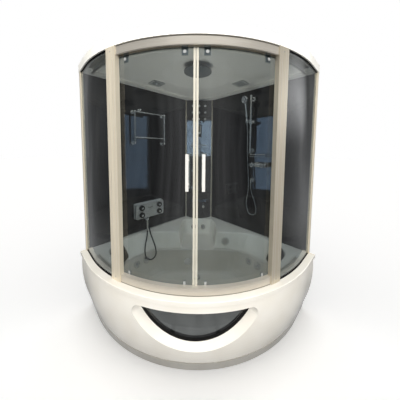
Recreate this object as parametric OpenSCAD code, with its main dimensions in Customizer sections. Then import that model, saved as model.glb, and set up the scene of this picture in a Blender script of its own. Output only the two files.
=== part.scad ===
// Corner bath with a closed shower cabin above it.
// X runs left to right, Y from front to back, Z up. The floor is Z = 0 and the
// origin is the middle of the box around the whole object. The two back sides
// meet in a right angle at the rear corner; the front is a quarter circle about
// a vertical axis (the turning axis of the doors) with a short straight stretch
// at each back side.

/* [Plan] */
// Length of each back side of the bath
wall_l = 1500; // [1420:5:1600]
// Straight stretch of the front at each back side
return_l = 208; // [180:1:240]
// How far the glass line lies inside the rim
glass_in = 52; // [46:1:60]

/* [Heights] */
// Height of the rim of the bath
rim_h = 557; // [530:1:600]
// Height of the cabin from the rim to the roof
cabin_h = 1581; // [1500:1:1700]
// Height of the edge of the roof
roof_edge_h = 62; // [54:1:80]

/* [Bath] */
// Thickness of the acrylic shell
shell_t = 6; // [5:0.5:7]
// Thickness of the deck of the bath
deck_t = 8; // [6:0.5:10]
// Height of the turned down edge of the deck
flange_h = 30; // [24:1:36]
// Width of the deck along the back sides
deck_w = 55; // [50:1:62]
// Width of the deck along the front
front_deck_w = 107; // [102:1:116]
// Height of the bottom inside the bath
floor_z = 104; // [98:1:112]
// Height of the corner seat
seat_z = 360; // [340:1:385]
// Distance from the rear corner to the front of the corner seat
seat_d = 654; // [640:1:680]
// Half of the width of the seat
seat_w = 222; // [200:1:240]
// Distance from the rear corner to the back of the seat
seat_back_d = 282; // [265:1:300]
// How sharply the plan of the basin turns its corners
corner_power = 8; // [6:1:12]

/* [Apron] */
// Thickness of the apron
apron_t = 5; // [4:0.5:6]
// How far the apron stands back from the edge of the rim
apron_in = 9; // [8:1:14]
// How far the foot of the apron is drawn in from its belly
apron_draw = 61; // [40:1:70]
// Height at which the apron is widest
belly_z = 430; // [400:1:460]
// Height of the band at the foot
band_h = 63; // [50:1:72]
// Height of the groove above the band
groove_h = 7; // [4:1:10]
// Depth of that groove
groove_d = 8; // [5:1:10]

/* [Window] */
// Height of the lowest point of the window opening
window_low_z = 189; // [170:1:215]
// Height of the top edge of the window opening
window_top_z = 477; // [465:1:490]
// Radius of the lower edge of the window opening
window_r = 495; // [470:5:520]
// Radius of the two upper corners of the opening
window_corner_r = 50; // [35:1:60]
// Width of the sloping reveal at its widest point
reveal_w = 36; // [28:1:44]
// Depth of the pane behind the belly of the apron
window_depth = 62; // [50:1:66]
// Width of the black border of the pane
border_w = 24; // [14:1:30]

/* [Rails and posts] */
// Height of the two curved rails
rail_h = 55; // [48:1:62]
// How far the rails stand in front of the glass line
rail_out = 6; // [3:1:9]
// Wall thickness of the rails
rail_t = 4; // [3:0.5:5]
// Angle of the middle of each post from the front
post_angle = 26.6; // [25.8:0.1:27.4]
// Width of each post
post_w = 86; // [76:1:92]
// How far the posts stand in front of the glass line
post_out = 13; // [10:1:16]
// Radial gap between the glass line and the inner face of the posts
post_in = 21; // [19:1:23]

/* [Glass] */
// Thickness of the glass
pane_t = 6; // [5:0.5:8]
// Height of the black strips above and below the fixed panes
seal_h = 6; // [4:1:8]
// Radial distance from the glass line to the outside of the doors
door_in = 26; // [25:0.5:28]
// Height of the top edge of the doors below the roof
door_top_gap = 52; // [48:1:56]
// Height of the bottom edge of the doors above the rim
door_low_gap = 13; // [10:1:16]
// Angle at which the far edge of each door lies
door_angle = 25.4; // [25:0.1:26]
// Width of the strip on the closing edge of each door
strip_w = 13; // [10:1:16]
// Gap from the middle to each closing strip
strip_gap = 2.5; // [1:0.5:4]

/* [Door hardware] */
// Length of the door handles
handle_l = 224; // [180:2:300]
// Height of the middle of the handles above the rim
handle_z = 786; // [700:1:850]
// Distance of the handles from the middle of the front
handle_s = 48; // [40:1:60]
// Width of the handle bars
handle_w = 19; // [14:1:22]
// Thickness of the handle bars
handle_t = 10; // [8:1:12]
// Finger gap between handle and glass
handle_gap = 35; // [30:1:38]
// Diameter of the door rollers
roller_d = 24; // [20:1:26]
// Width of the door rollers
roller_w = 8; // [6:1:8]
// Diameter of the roller pins
pin_d = 7.9; // [6:0.1:9]
// Gap all round a roller pin
pin_play = 0.05; // [0.03:0.01:0.08]
// Angle of the first hanger of each door from the front
hanger_near = 3.2; // [2.8:0.1:4]
// Angle of the second hanger
hanger_far = 22.3; // [21.5:0.1:22.8]
// Width of the hangers
hanger_w = 40; // [32:1:46]

/* [Back walls] */
// Thickness of the back panels
panel_t = 8; // [6:1:10]
// Distance of the back panels from the edge of the bath
panel_in = 10; // [6:1:14]
// Width of the corner column
column_w = 350; // [320:5:380]
// Width of the metal trims
trim_w = 18; // [14:1:22]
// Width of the wall profiles at the fixed panes
profile_w = 24; // [20:1:30]
// Depth of the wall profiles
profile_d = 34; // [28:1:40]

/* [Column] */
// Width of the display
display_w = 72; // [60:1:90]
// Height of the display
display_h = 164; // [140:1:190]
// Height of the lower edge of the display above the rim
display_z = 1098; // [1050:1:1150]
// Thickness of the display
display_t = 8; // [6:1:12]
// Sideways pitch of the round nozzles
nozzle_pitch = 82; // [74:1:90]
// Diameter of the round nozzles
nozzle_d = 30; // [24:1:36]
// Depth of the small shelves
shelf_d = 88; // [70:1:100]
// Width of the small shelves
shelf_w = 230; // [200:5:260]
// Thickness of the small shelves
shelf_t = 6; // [5:1:8]
// Height of the bulging lower housing
bulge_h = 226; // [200:1:240]
// How far the housing bulges out
bulge_d = 66; // [55:1:75]
// Height of the dark recess above the housing
recess_h = 100; // [80:1:110]
// Reach of the filling spout from the column
spout_l = 150; // [120:1:170]

/* [Roof] */
// Thickness of the roof and of the ceiling
roof_t = 4; // [3:0.5:5]
// Width of the flange of the ceiling
ceiling_flange_w = 70; // [66:1:80]
// Height of the flat part of the ceiling above its flange
ceiling_rise = 24; // [18:1:28]
// Radius of the round dome in the ceiling
dome_r = 330; // [280:5:340]
// Distance of the middle of the dome from the rear corner
dome_back_d = 894; // [870:1:920]
// Height of the dome
dome_h = 24; // [16:1:26]
// Diameter of the rain head
rain_d = 230; // [200:5:260]
// Distance of the rain head from the rear corner
rain_back_d = 1074; // [1030:1:1110]
// Height of the rain head below the roof line
rain_drop = 14; // [8:1:24]
// Side of the square lamp and speaker
lamp_w = 130; // [110:5:150]
// Distance of lamp and speaker from the rear corner
lamp_back_d = 734; // [700:1:760]
// Sideways place of lamp and speaker
lamp_x = 430; // [400:1:460]

/* [Shower set] */
// Place of the slide bar along the right side, from the corner
bar_u = 870; // [855:1:885]
// Length of the slide bar
bar_l = 615; // [560:5:660]
// Height of the top of the slide bar above the rim
bar_top = 1506; // [1470:1:1520]
// Diameter of the slide bar
bar_d = 22; // [18:0.5:25]
// Distance of the slide bar from the wall
bar_out = 58; // [52:1:66]
// Height of the slider above the rim
slider_z = 1222; // [1200:1:1240]
// Play between slider and bar, all round
slider_play = 0.05; // [0.03:0.01:0.1]
// Diameter of the head of the hand shower
hand_head_d = 78; // [65:1:90]
// Length of the handle of the hand shower
hand_l = 210; // [190:1:230]
// Diameter of the handle
hand_d = 23; // [20:1:26]
// Diameter of the two hoses
hose_d = 13; // [12:0.5:14]
// Height of the wall outlet above the rim
outlet_z = 594; // [590:1:600]

/* [Mixer] */
// Place of the middle of the mixer along the right side
mixer_u = 976; // [960:1:1000]
// Height of the mixer above the rim
mixer_z = 770; // [740:1:800]
// Length of the mixer
mixer_l = 168; // [160:1:190]
// Diameter of the mixer's body
mixer_d = 44; // [38:1:50]
// Distance between its two knobs
mixer_pitch = 112; // [100:1:124]
// Diameter of the knobs of the mixer
mixer_knob_d = 46; // [38:1:52]
// Height of the shelf above the mixer's axis
mixer_shelf_z = 85; // [70:1:100]

/* [Control panel] */
// Place of the middle of the control panel along the left side
control_u = 830; // [810:1:850]
// Height of the middle of the control panel above the rim
control_z = 245; // [235:1:260]
// Width of the control panel
control_w = 340; // [320:5:360]
// Height of the control panel
control_h = 165; // [150:1:180]
// Depth of the control panel
control_d = 52; // [44:1:60]
// Sideways distance between its knobs
control_pitch = 214; // [200:1:230]
// Height between its knobs
control_rise = 78; // [72:1:84]
// Diameter of its knobs
control_knob_d = 58; // [50:1:64]
// Height of its knobs
control_knob_h = 20; // [16:1:26]

/* [Towel rack] */
// Place of the middle of the rack along the left side
rack_u = 825; // [800:1:850]
// Width between the upright tubes of the rack
rack_w = 352; // [320:1:380]
// Height of the upright tubes
rack_h = 345; // [320:1:370]
// Height of the top of the rack above the rim
rack_top = 1325; // [1290:1:1350]
// Diameter of the upright tubes
rack_d = 16; // [12:1:20]
// Diameter of the rails
rack_rail_d = 12; // [8:1:12]
// Distance of the rack from the wall
rack_out = 62; // [54:1:72]

/* [Waste] */
// Diameter of the waste flange
waste_d = 70; // [62:1:80]
// Bore of the waste outlet
outlet_bore = 40; // [36:0.5:42]
// Diameter of the overflow plate
overflow_d = 80; // [70:1:88]
// Height of the overflow below the rim
overflow_drop = 97; // [85:1:110]
// Sideways place of the overflow
overflow_x = 318; // [300:1:335]
// Bore of the water inlets of mixer and control panel
inlet_bore = 18; // [14:0.5:20]
// Distance between the two inlets of each
inlet_pitch = 100; // [90:1:110]

/* [Head rests] */
// Length of the head rests
rest_l = 300; // [260:5:330]
// Thickness of the head rests
rest_t = 62; // [50:1:70]

/* [Frame and pump] */
// Side of the square frame tubes
tube_w = 30; // [25:1:35]
// Wall of the frame tubes
tube_t = 2.5; // [2:0.5:3]
// Diameter of the foot pads
foot_d = 50; // [40:1:60]
// Diameter of the threaded stems of the feet
stem_d = 12; // [10:1:16]
// Diameter of the pump's wheel housing
pump_d = 150; // [130:1:160]
// Diameter of the pump's motor
motor_d = 126; // [110:1:136]
// Length of the pump's motor
motor_l = 190; // [150:5:200]
// Diameter of the water pipes
pipe_d = 32; // [25:1:36]
// Height of the water pipes and side jets
pipe_z = 300; // [285:1:310]
// Diameter of the jets' faces
jet_d = 64; // [54:1:72]

/* [Hidden] */
$fn = 96;
q = sqrt(0.5);
rim_r = wall_l - return_l;
rear = return_l * sqrt(2);
tip = [wall_l * q, rear - wall_l * q];
// the doors' axis lies this far behind the middle of the box
arc_y = (rim_r - rear) / 2;
glass_r = rim_r - glass_in;
roof_z = rim_h + cabin_h;
deck_z = rim_h - deck_t;
open_r = rim_r - front_deck_w;
face_in = panel_in + panel_t;
column_y = rear - column_w / 2 - face_in * sqrt(2);
seat_y = rear - seat_d;
seat_back_y = rear - seat_back_d;
// middle of the basin, from which its outlines are drawn
pool_y = seat_y - 240;

// The basin, from the edge of the deck down to the bottom. Each row has the
// inset at the front, the inset at the back sides, how far the seat's front
// lies forward, the inset of the seat's alcove (none below the seat) and the
// height.
lip_z = rim_h - 16;
foot_z = seat_z + 24;
basin = [
    [0, 0, 0, 0, rim_h],
    [4, 4, 3, 3, rim_h - 2],
    [9, 9, 6, 6, rim_h - 7],
    [12, 12, 8, 8, lip_z],
    [64, 76, 14, 34, foot_z],
    [68, 82, 15, 46, seat_z + 10],
    [71, 87, 16, 64, seat_z + 3],
    [74, 92, 18, undef, seat_z],
    [78, 97, 24, undef, seat_z - 6],
    [100, 126, 30, undef, floor_z + 156],
    [124, 154, 35, undef, floor_z + 74],
    [146, 178, 43, undef, floor_z + 32],
    [172, 205, 56, undef, floor_z + 10],
    [205, 240, 72, undef, floor_z + 2],
    [240, 275, 88, undef, floor_z],
];

// Angles about the middle of the basin, closer together where it turns
function steps(a, b, n) = [for (i = [0:n - 1]) a + (b - a) * i / n];
tip_a = atan2(tip.y - pool_y, tip.x);
mouth_a = atan2(seat_y - pool_y, seat_w);
tip_fan = 18;
tip_n = 11;
front_n = 14;
right_a = concat(
    steps(-90, tip_a - tip_fan, front_n),
    steps(tip_a - tip_fan, tip_a, tip_n),
    steps(tip_a, tip_a + tip_fan, tip_n),
    steps(tip_a + tip_fan, mouth_a - 6, 6),
    steps(mouth_a - 6, 76, 13),
    steps(76, 90, 3));
pool_a = concat(right_a, [90], [for (i = [len(right_a) - 1:-1:1]) 180 - right_a[i]]);

// Distance from the middle of the basin to a line and to a circle about the
// doors' axis, and a smallest and a largest distance with rounded corners
function to_line(a, n, k) =
    let (d = cos(a) * n.x + sin(a) * n.y) d < 0.03 ? 1e5 : (k - n.y * pool_y) / d;
function to_circle(a, r) =
    let (b = sin(a) * pool_y) sqrt(b * b - pool_y * pool_y + r * r) - b;
function total(v, i = 0) = i < len(v) ? v[i] + total(v, i + 1) : 0;
function soft_min(v, p) = 1000 * pow(total([for (x = v) pow(x / 1000, -p)]), -1 / p);
function bay(a, f, w, s) = soft_min([
    to_circle(a, open_r - f),
    to_line(a, [q, -q], open_r - f),
    to_line(a, [-q, -q], open_r - f),
    to_line(a, [q, q], return_l - deck_w - w),
    to_line(a, [-q, q], return_l - deck_w - w),
    to_line(a, [0, 1], seat_y - s)], corner_power);
function alcove(a, c) = sin(a) < 0.3 ? 0 : soft_min([
    to_line(a, [1, 0], seat_w - c),
    to_line(a, [-1, 0], seat_w - c),
    to_line(a, [0, 1], seat_back_y - c)], corner_power);
function reach(a, row) = let (b = bay(a, row[0], row[1], row[2]))
    is_undef(row[3]) ? b : 1000 * pow(pow(b / 1000, 30) + pow(alcove(a, row[3]) / 1000, 30), 1 / 30);
function on_ray(a, r, z) = [r * cos(a), pool_y + r * sin(a), z];
function rim_reach(a, in) =
    let (t = to_circle(a, rim_r - in), p = on_ray(a, t, 0))
    min(abs(p.x) <= -p.y ? t : 1e5,
        to_line(a, [q, -q], rim_r - in), to_line(a, [-q, -q], rim_r - in),
        to_line(a, [q, q], return_l - in), to_line(a, [-q, q], return_l - in));

// A point of the basin's inner face at an angle and a height, and its normal
function row_below(z, i = 1) = basin[i][4] <= z || i == len(basin) - 1 ? i : row_below(z, i + 1);
function skin_r(a, z) = let (
    k = row_below(z), hi = basin[k - 1], lo = basin[k], t = (hi[4] - z) / (hi[4] - lo[4]))
    reach(a, hi) * (1 - t) + reach(a, lo) * t;
function skin(a, z) = on_ray(a, skin_r(a, z), z);
function unit(v) = v / norm(v);
function skin_n(a, z) = unit(cross(skin(a - 1, z) - skin(a + 1, z), skin(a, z + 4) - skin(a, z - 4)));

// Frames: the doors' axis, the two back sides, their inner faces, the front
module at_axis() translate([0, arc_y, 0]) children();
module right_side() translate([0, rear, 0]) rotate([0, 0, -45]) children();
module side(s) mirror([s > 0 ? 0 : 1, 0, 0]) right_side() children();
module on_wall(s, u, z) side(s) translate([u, -face_in, z]) rotate([90, 0, 0]) children();
module on_front(a, r, z) rotate([0, 0, a]) translate([0, -r, z]) rotate([90, 0, 0]) children();
module bend(a0, a1) rotate_extrude(angle = a1 - a0, start = a0 - 90, $fn = 360) children();
module both() {
    children();
    mirror([1, 0, 0]) children();
}
module front_end(end, lap = 0) both() right_side() translate([return_l, -end, 0]) rotate([90, 0, 0])
    linear_extrude(return_l - end + lap) children();
module front_sweep(end) {
    bend(-45, 45) children();
    front_end(end) children();
}
module ring_box(r0, r1, z0, z1) translate([r0, z0]) square([r1 - r0, z1 - z0]);
module along(v) rotate([0, acos(v.z / norm(v)), atan2(v.y, v.x)]) children();
module rod(p, r, d) translate(p) along(r - p) cylinder(d = d, h = norm(r - p), $fn = 48);
module on_skin(a, z) translate(skin(a, z)) along(skin_n(a, z)) children();
module plate(w, h, t, r = 4) linear_extrude(t) {
    square([w - 2 * r, h], center = true);
    square([w, h - 2 * r], center = true);
    for (x = [-1, 1], y = [-1, 1]) translate([x * (w / 2 - r), y * (h / 2 - r)]) circle(r, $fn = 32);
}
// Plan of the whole bath, with the front at radius r and the back sides moved in
module plan(r, back = 0) translate([0, rear]) rotate(-45) intersection() {
    translate([back, -(return_l + r)]) square(return_l + r - back);
    union() {
        translate([return_l, -return_l]) circle(r, $fn = 360);
        translate([0, -return_l]) square([return_l + r, return_l]);
        translate([0, -(return_l + r)]) square([return_l, return_l + r]);
    }
}
module slab(z, h, r, back = 0) translate([0, 0, z]) linear_extrude(h) plan(r, back);

// A closed skin through rings of points, from one middle point to another
module loft(rings, start, end) {
    n = len(rings[0]);
    m = len(rings);
    function at(i, j) = i * n + (j % n);
    polyhedron(
        points = concat([for (r = rings) each r], [start, end]),
        faces = concat(
            [for (i = [0:m - 2], j = [0:n - 1]) each [
                [at(i + 1, j + 1), at(i + 1, j), at(i, j)],
                [at(i, j + 1), at(i + 1, j + 1), at(i, j)]]],
            [for (j = [0:n - 1]) [at(0, j), m * n, at(0, j + 1)]],
            [for (j = [0:n - 1]) [at(m - 1, j + 1), m * n + 1, at(m - 1, j)]]),
        convexity = 10);
}

// Bath

inner_rings = [for (i = [len(basin) - 1:-1:0]) [for (a = pool_a) on_ray(a, reach(a, basin[i]), basin[i][4])]];
outer_rows = [for (i = [3:len(basin) - 1]) let (b = basin[i])
    [b[0] - shell_t, b[1] - shell_t, b[2] - shell_t, is_undef(b[3]) ? undef : b[3] - shell_t,
        b[4] - shell_t]];
function rim_ring(in, z) = [for (a = pool_a) on_ray(a, rim_reach(a, in), z)];
function skin_ring(row) = [for (a = pool_a) on_ray(a, reach(a, row), row[4])];
under_row = [-shell_t, -shell_t, -shell_t, -shell_t, deck_z];

drain_y = seat_y - 126;
overflow_a = atan2(seat_y - 8 - pool_y, overflow_x);
overflow_z = rim_h - overflow_drop;
suction_a = 118;
suction_z = 225;
side_jets = [11, 3];
back_jets = [84, 96];
back_jet_z = rim_h - 100;

module tub_moulding() difference() {
    loft(concat(inner_rings,
        [rim_ring(3, rim_h), rim_ring(0, rim_h - 3), rim_ring(0, rim_h - flange_h),
            rim_ring(shell_t, rim_h - flange_h), rim_ring(shell_t, deck_z), skin_ring(under_row)],
        [for (r = outer_rows) skin_ring(r)]),
        [0, pool_y, floor_z], [0, pool_y, floor_z - shell_t]);
    translate([0, drain_y, 0]) cylinder(d = waste_d - 22, h = floor_z + 50);
    on_skin(overflow_a, overflow_z) cylinder(d = overflow_d - 36, h = 60, center = true);
    on_skin(suction_a, suction_z) cylinder(d = jet_d - 10, h = 60, center = true);
    both() for (a = side_jets) on_skin(a, pipe_z) cylinder(d = jet_d - 10, h = 60, center = true);
    for (a = back_jets) on_skin(a, back_jet_z) cylinder(d = jet_d - 10, h = 60, center = true);
}
// The moulding in three stages: rim and back rests, wall and seat, bottom
low_stage = floor_z + 20;
high_stage = seat_z + 14;
module stage(low, high) at_axis() color("#f2efe9") intersection() {
    tub_moulding();
    translate([-rim_r, -rim_r, low]) cube([2 * rim_r, 2 * rim_r, high - low]);
}
module tub_shell() stage(high_stage, rim_h + 5);
module tub_basin() stage(low_stage, high_stage);
module tub_floor() stage(0, low_stage);

apron_r = rim_r - apron_in;
apron_foot_z = band_h + groove_h;
function apron_at(z) = apron_r - apron_draw * pow((z - belly_z) / (belly_z - apron_foot_z), 2);
apron_foot_r = apron_at(apron_foot_z);
apron_z = [for (i = [0:18]) apron_foot_z + (deck_z - apron_foot_z) * i / 18];

// Outline of the smiling window: a lower arc and two rounded upper corners
function smile(r, low, top, c, n = 40, m = 8, k = 24) = let (
    cz = low + r,
    kz = top - c,
    kx = sqrt(pow(r - c, 2) - pow(kz - cz, 2)),
    b = atan2(kz - cz, kx))
    concat(
        [for (i = [0:n]) let (t = -180 - b + (180 + 2 * b) * i / n) [r * cos(t), cz + r * sin(t)]],
        [for (i = [1:m]) let (t = b + (90 - b) * i / m) [kx + c * cos(t), kz + c * sin(t)]],
        [for (i = [1:k - 1]) [kx - 2 * kx * i / k, top]],
        [for (i = [0:m - 1]) let (t = 90 + (90 - b) * i / m) [-kx + c * cos(t), kz + c * sin(t)]]);
window_out = smile(window_r, window_low_z, window_top_z, window_corner_r);
window_fit = smile(window_r - 0.2, window_low_z + 0.2, window_top_z - 0.2, window_corner_r - 0.2);
pane_r = window_r - reveal_w;
pane_low = window_low_z + reveal_w;
pane_top = window_top_z - 14;
pane_c = window_corner_r - 14;
function pane_edge(in) = smile(pane_r - in, pane_low + in, pane_top - in, pane_c - min(in, pane_c - 8));
window_face_r = apron_r - window_depth;
function on_drum(p, r) = [p.x, -sqrt(r * r - p.x * p.x), p.y];
module through_front(pts) translate([0, -0.8 * rim_r, 0]) rotate([90, 0, 0])
    linear_extrude(0.3 * rim_r) polygon(pts);

lap = 0.5;
lap_e = 0.02;
// Its section, thinner by e all round where the straight ends lap into the bend
module apron_section(e = 0) polygon(concat(
    [for (i = [0:18]) [apron_at(apron_z[i]) - e, apron_z[i] + (i == 0 ? e : i == 18 ? -e : 0)]],
    [for (i = [18:-1:1]) [apron_at(apron_z[i]) - apron_t + e, apron_z[i] - (i == 18 ? e : 0)]],
    [[apron_foot_r - apron_t + e, apron_foot_z + apron_t - e],
        [apron_foot_r - groove_d - 12 + e, apron_foot_z + apron_t - e],
        [apron_foot_r - groove_d - 12 + e, apron_foot_z + e]]));
module apron() at_axis() color("#efece6") difference() {
    union() {
        bend(-45, 45) apron_section();
        front_end(shell_t + 0.4, lap) apron_section(lap_e);
    }
    through_front(window_out);
}

module base_band() at_axis() color("#e9e5de") {
    front_sweep(shell_t + 0.4) polygon([
        [apron_foot_r - 13, 0], [apron_foot_r - 1, band_h], [apron_foot_r - groove_d, band_h],
        [apron_foot_r - groove_d, apron_foot_z], [apron_foot_r - groove_d - 12, apron_foot_z],
        [apron_foot_r - groove_d - 12, 0]]);
    for (a = [-10, 6.6]) bend(a - 0.5, a + 0.5)
        ring_box(apron_foot_r - groove_d, apron_foot_r - 1.5, band_h, apron_foot_z);
}

module window_frame() at_axis() color("#f5f3ee") {
    a = [for (p = window_fit) on_drum(p, apron_at(p.y))];
    b = [for (p = pane_edge(0)) on_drum(p, window_face_r + 0.2)];
    c = [for (p = pane_edge(-4)) on_drum(p, window_face_r + 0.2)];
    d = [for (p = window_fit) on_drum(p, apron_at(p.y) - apron_t - 2)];
    n = len(a);
    polyhedron(points = concat(a, b, c, d), faces = [for (k = [0:3], j = [0:n - 1])
        each let (u = k * n, v = (k + 1) % 4 * n, i = (j + 1) % n)
            [[u + j, v + j, v + i], [u + j, v + i, u + i]]], convexity = 8);
}

module window_glass() at_axis() color("#4a5054", 0.75) intersection() {
    bend(-30, 30) ring_box(window_face_r - pane_t, window_face_r, pane_low - 40, window_top_z + 20);
    through_front(pane_edge(-14));
}

seal_r0 = glass_r - pane_t - 4;
post_half = post_w / 2 / glass_r * 180 / PI;
module strip_beside(z) both() {
    bend(post_angle + post_half + 0.05, 45) ring_box(seal_r0, glass_r + 4, z, z + seal_h);
    right_side() translate([return_l, -profile_d - 2.2, z]) rotate([90, 0, 0])
        linear_extrude(return_l - profile_d - 2.2) translate([seal_r0, 0])
            square([glass_r + 4 - seal_r0, seal_h]);
}
module black_seals() at_axis() color("#16171a") {
    strip_beside(rim_h);
    strip_beside(roof_z - seal_h);
    intersection() {
        bend(-30, 30) ring_box(window_face_r, window_face_r + 1.6, pane_low - 10, window_top_z);
        through_front(pane_edge(0.3));
        difference() {
            through_front(pane_edge(0.3));
            through_front(pane_edge(border_w));
        }
    }
}

bar_z = floor_z - shell_t - tube_w;
bar_in = 12;
cross_x = [175, 520, 800];
front_leg_r = open_r + shell_t + 1.5;
leg_u = [130, 700, 1300];
// The frame's square tubes, each welded to the next across a narrow gap
weld = 0.2;
module tube(l) difference() {
    cube([tube_w, l, tube_w]);
    translate([tube_t, -1, tube_t]) cube([tube_w - 2 * tube_t, l + 2, tube_w - 2 * tube_t]);
}
function front_y(x) = -sqrt(pow(front_leg_r, 2) - pow(x, 2));
module frame_bars() {
    both() {
        side(1) translate([60, -bar_in, bar_z]) rotate(-90) tube(leg_u[2] - 30);
        for (x = cross_x) let (y = front_y(x + tube_w / 2) + weld) translate([x - tube_w / 2, y, bar_z])
            tube(rear - x - tube_w / 2 - (bar_in + tube_w) * sqrt(2) - weld - y);
        side(1) for (u = leg_u) translate([u - tube_w / 2, -bar_in, bar_z + tube_w + weld]) rotate([90, 0, 0])
            tube(deck_z - bar_z - tube_w - weld);
    }
    translate([-cross_x[2], pool_y + tube_w / 2, bar_z - tube_w - weld]) rotate(-90) tube(2 * cross_x[2]);
}
pump_y = -10;
module tub_frame() at_axis() color("#8d9398") {
    frame_bars();
    both() for (x = [cross_x[1], cross_x[2]]) let (a = asin(x / front_leg_r))
        bend(a - 1, a + 1) ring_box(front_leg_r, front_leg_r + 7, bar_z, deck_z);
    translate([-cross_x[0] - 15, pump_y - 65, bar_z + tube_w + weld]) cube([2 * cross_x[0] + 30, 120, 4]);
}

module foot() {
    cylinder(d = foot_d, h = 7);
    cylinder(d1 = foot_d * 0.8, d2 = stem_d + 8, h = 14);
    cylinder(d = stem_d, h = bar_z);
    translate([0, 0, bar_z - 10]) cylinder(d = 22, h = 10, $fn = 6);
}
module levelling_feet() at_axis() color("#2b2d30") both() {
    side(1) for (u = leg_u) translate([u, -bar_in - tube_w / 2 - foot_d / 4, 0]) foot();
    for (x = cross_x) translate([x, -sqrt(pow(front_leg_r - foot_d / 2 - 4, 2) - x * x), 0]) foot();
}

pump_base = bar_z + tube_w + weld + 4;
pump_z = pump_base + 12 + pump_d / 2;
volute_x = -118;
module pump() at_axis() color("#3b4046") translate([0, pump_y, pump_z]) rotate([0, 90, 0]) {
    translate([0, 0, volute_x - 32]) cylinder(d = pump_d, h = 64);
    translate([0, 0, volute_x + 32]) cylinder(d = motor_d - 16, h = 8);
    translate([0, 0, volute_x + 40]) cylinder(d = motor_d, h = motor_l);
    for (i = [0:6]) translate([0, 0, volute_x + 60 + i * 18]) cylinder(d = motor_d + 8, h = 5);
    translate([0, 0, volute_x + 40 + motor_l]) cylinder(d = motor_d - 10, h = 22);
    translate([0, 0, volute_x - 50]) cylinder(d = 60, h = 18);
    translate([motor_d / 2 - 14, -42, volute_x - 20]) cube([pump_z - pump_base - motor_d / 2 + 14, 84, 180]);
    translate([-pump_d / 2 - 14, 0, volute_x]) rotate([0, 90, 0]) cylinder(d = 50, h = 40);
}

pipe_in = 70;
cross_pipe_x = rear - pipe_in * sqrt(2) - pump_y;
function side_point(u, y, z) = [(u + y) * q, rear + (y - u) * q, z];
function back_of(a, z, d) = skin(a, z) - d * skin_n(a, z);
function flip(p) = [-p.x, p.y, p.z];
pipe_far = 1190;
// where a jet's pipe meets the long pipe beside it
function pipe_foot(p) = side_point((p.x - p.y + rear) * q, -pipe_in, pipe_z);
module jet_back(a, z) on_skin(a, z) translate([0, 0, -44]) cylinder(d = jet_d - 14, h = 40);
module water_pipes() at_axis() color("#d9d9d4") {
    rod([-cross_pipe_x, pump_y, pipe_z], [cross_pipe_x, pump_y, pipe_z], pipe_d);
    translate([volute_x, pump_y, pump_z + pump_d / 2 + 14])
        cylinder(d = pipe_d, h = pipe_z - pump_z - pump_d / 2 - 14);
    both() {
        translate([cross_pipe_x, pump_y, pipe_z]) cylinder(d = pipe_d + 8, h = pipe_d + 8, center = true);
        rod([cross_pipe_x, pump_y, pipe_z], side_point(pipe_far, -pipe_in, pipe_z), pipe_d);
        for (a = side_jets) {
            jet_back(a, pipe_z);
            rod(back_of(a, pipe_z, 30), pipe_foot(back_of(a, pipe_z, 30)), pipe_d - 6);
        }
        rod([back_of(back_jets[0], back_jet_z, 30).x, pump_y, pipe_z],
            back_of(back_jets[0], back_jet_z, 34), pipe_d - 8);
        jet_back(back_jets[0], back_jet_z);
    }
    jet_back(suction_a, suction_z);
    elbow = [volute_x - 84, pump_y, pump_z];
    rod([volute_x - 50, pump_y, pump_z], elbow, 34);
    translate(elbow) cylinder(d = 60, h = 52, center = true);
    rod(elbow, back_of(suction_a, suction_z, 32), 34);
}

module jet_face() {
    translate([0, 0, 0.8]) difference() {
        cylinder(d = jet_d, h = 5);
        translate([0, 0, 2]) cylinder(d = jet_d - 16, h = 6);
    }
    translate([0, 0, -3.7]) cylinder(d = jet_d - 15, h = 7);
    translate([0, 0, 2]) difference() {
        sphere(d = 26);
        cylinder(d = 12, h = 40);
        translate([0, 0, -40]) cylinder(d = 40, h = 40);
    }
}
module tub_jets() at_axis() color("#c9ccd0") {
    both() for (a = side_jets) on_skin(a, pipe_z) jet_face();
    for (a = back_jets) on_skin(a, back_jet_z) jet_face();
    on_skin(suction_a, suction_z) {
        translate([0, 0, 0.3]) difference() {
            cylinder(d = jet_d + 12, h = 6);
            for (i = [0:7]) rotate(i * 45) translate([22, 0, 1.5]) cylinder(d = 9, h = 6, $fn = 24);
        }
        translate([0, 0, -3.7]) cylinder(d = jet_d - 15, h = 5);
    }
}

trap_z = 42;
plug_travel = 12;
plug_stem = 8;
module waste_fittings() at_axis() color("#b9bcc0") {
    outlet_y = drain_y + 236;
    over = back_of(overflow_a, overflow_z, 26);
    difference() {
        union() {
            translate([0, drain_y, floor_z]) cylinder(d = waste_d, h = 2.5);
            translate([0, drain_y, trap_z - 22]) cylinder(d = waste_d - 24, h = floor_z - trap_z + 23);
            translate([0, drain_y, floor_z - shell_t - 9]) cylinder(d = waste_d - 6, h = 9);
            translate([0, drain_y, trap_z]) rotate([-90, 0, 0]) cylinder(d = outlet_bore + 6, h = 236);
            rod([over.x, over.y + 14, trap_z], [0, drain_y, trap_z], 30);
        }
        translate([0, drain_y, trap_z - 18]) cylinder(d = waste_d - 32, h = 90);
        translate([0, drain_y, trap_z]) rotate([-90, 0, 0]) cylinder(d = outlet_bore, h = 240);
    }
    difference() {
        translate([0, drain_y, floor_z - 20]) cube([waste_d - 31, 7, 6], center = true);
        translate([0, drain_y, floor_z - 30]) cylinder(d = plug_stem + 0.1, h = 20);
    }
    rod([over.x, over.y + 14, trap_z], [over.x, over.y + 14, overflow_z], 30);
    translate([over.x, over.y + 14, trap_z]) sphere(d = 30);
    on_skin(overflow_a, overflow_z) difference() {
        union() {
            translate([0, 0, -40]) cylinder(d = overflow_d - 38, h = 42.5);
            translate([0, 0, 1.9]) cylinder(d = overflow_d - 22, h = 1.4);
            translate([0, 0, -shell_t - 6]) cylinder(d = overflow_d - 20, h = 5);
        }
        translate([0, 0, -20]) cylinder(d = 10.1, h = 30);
    }
}
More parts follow.
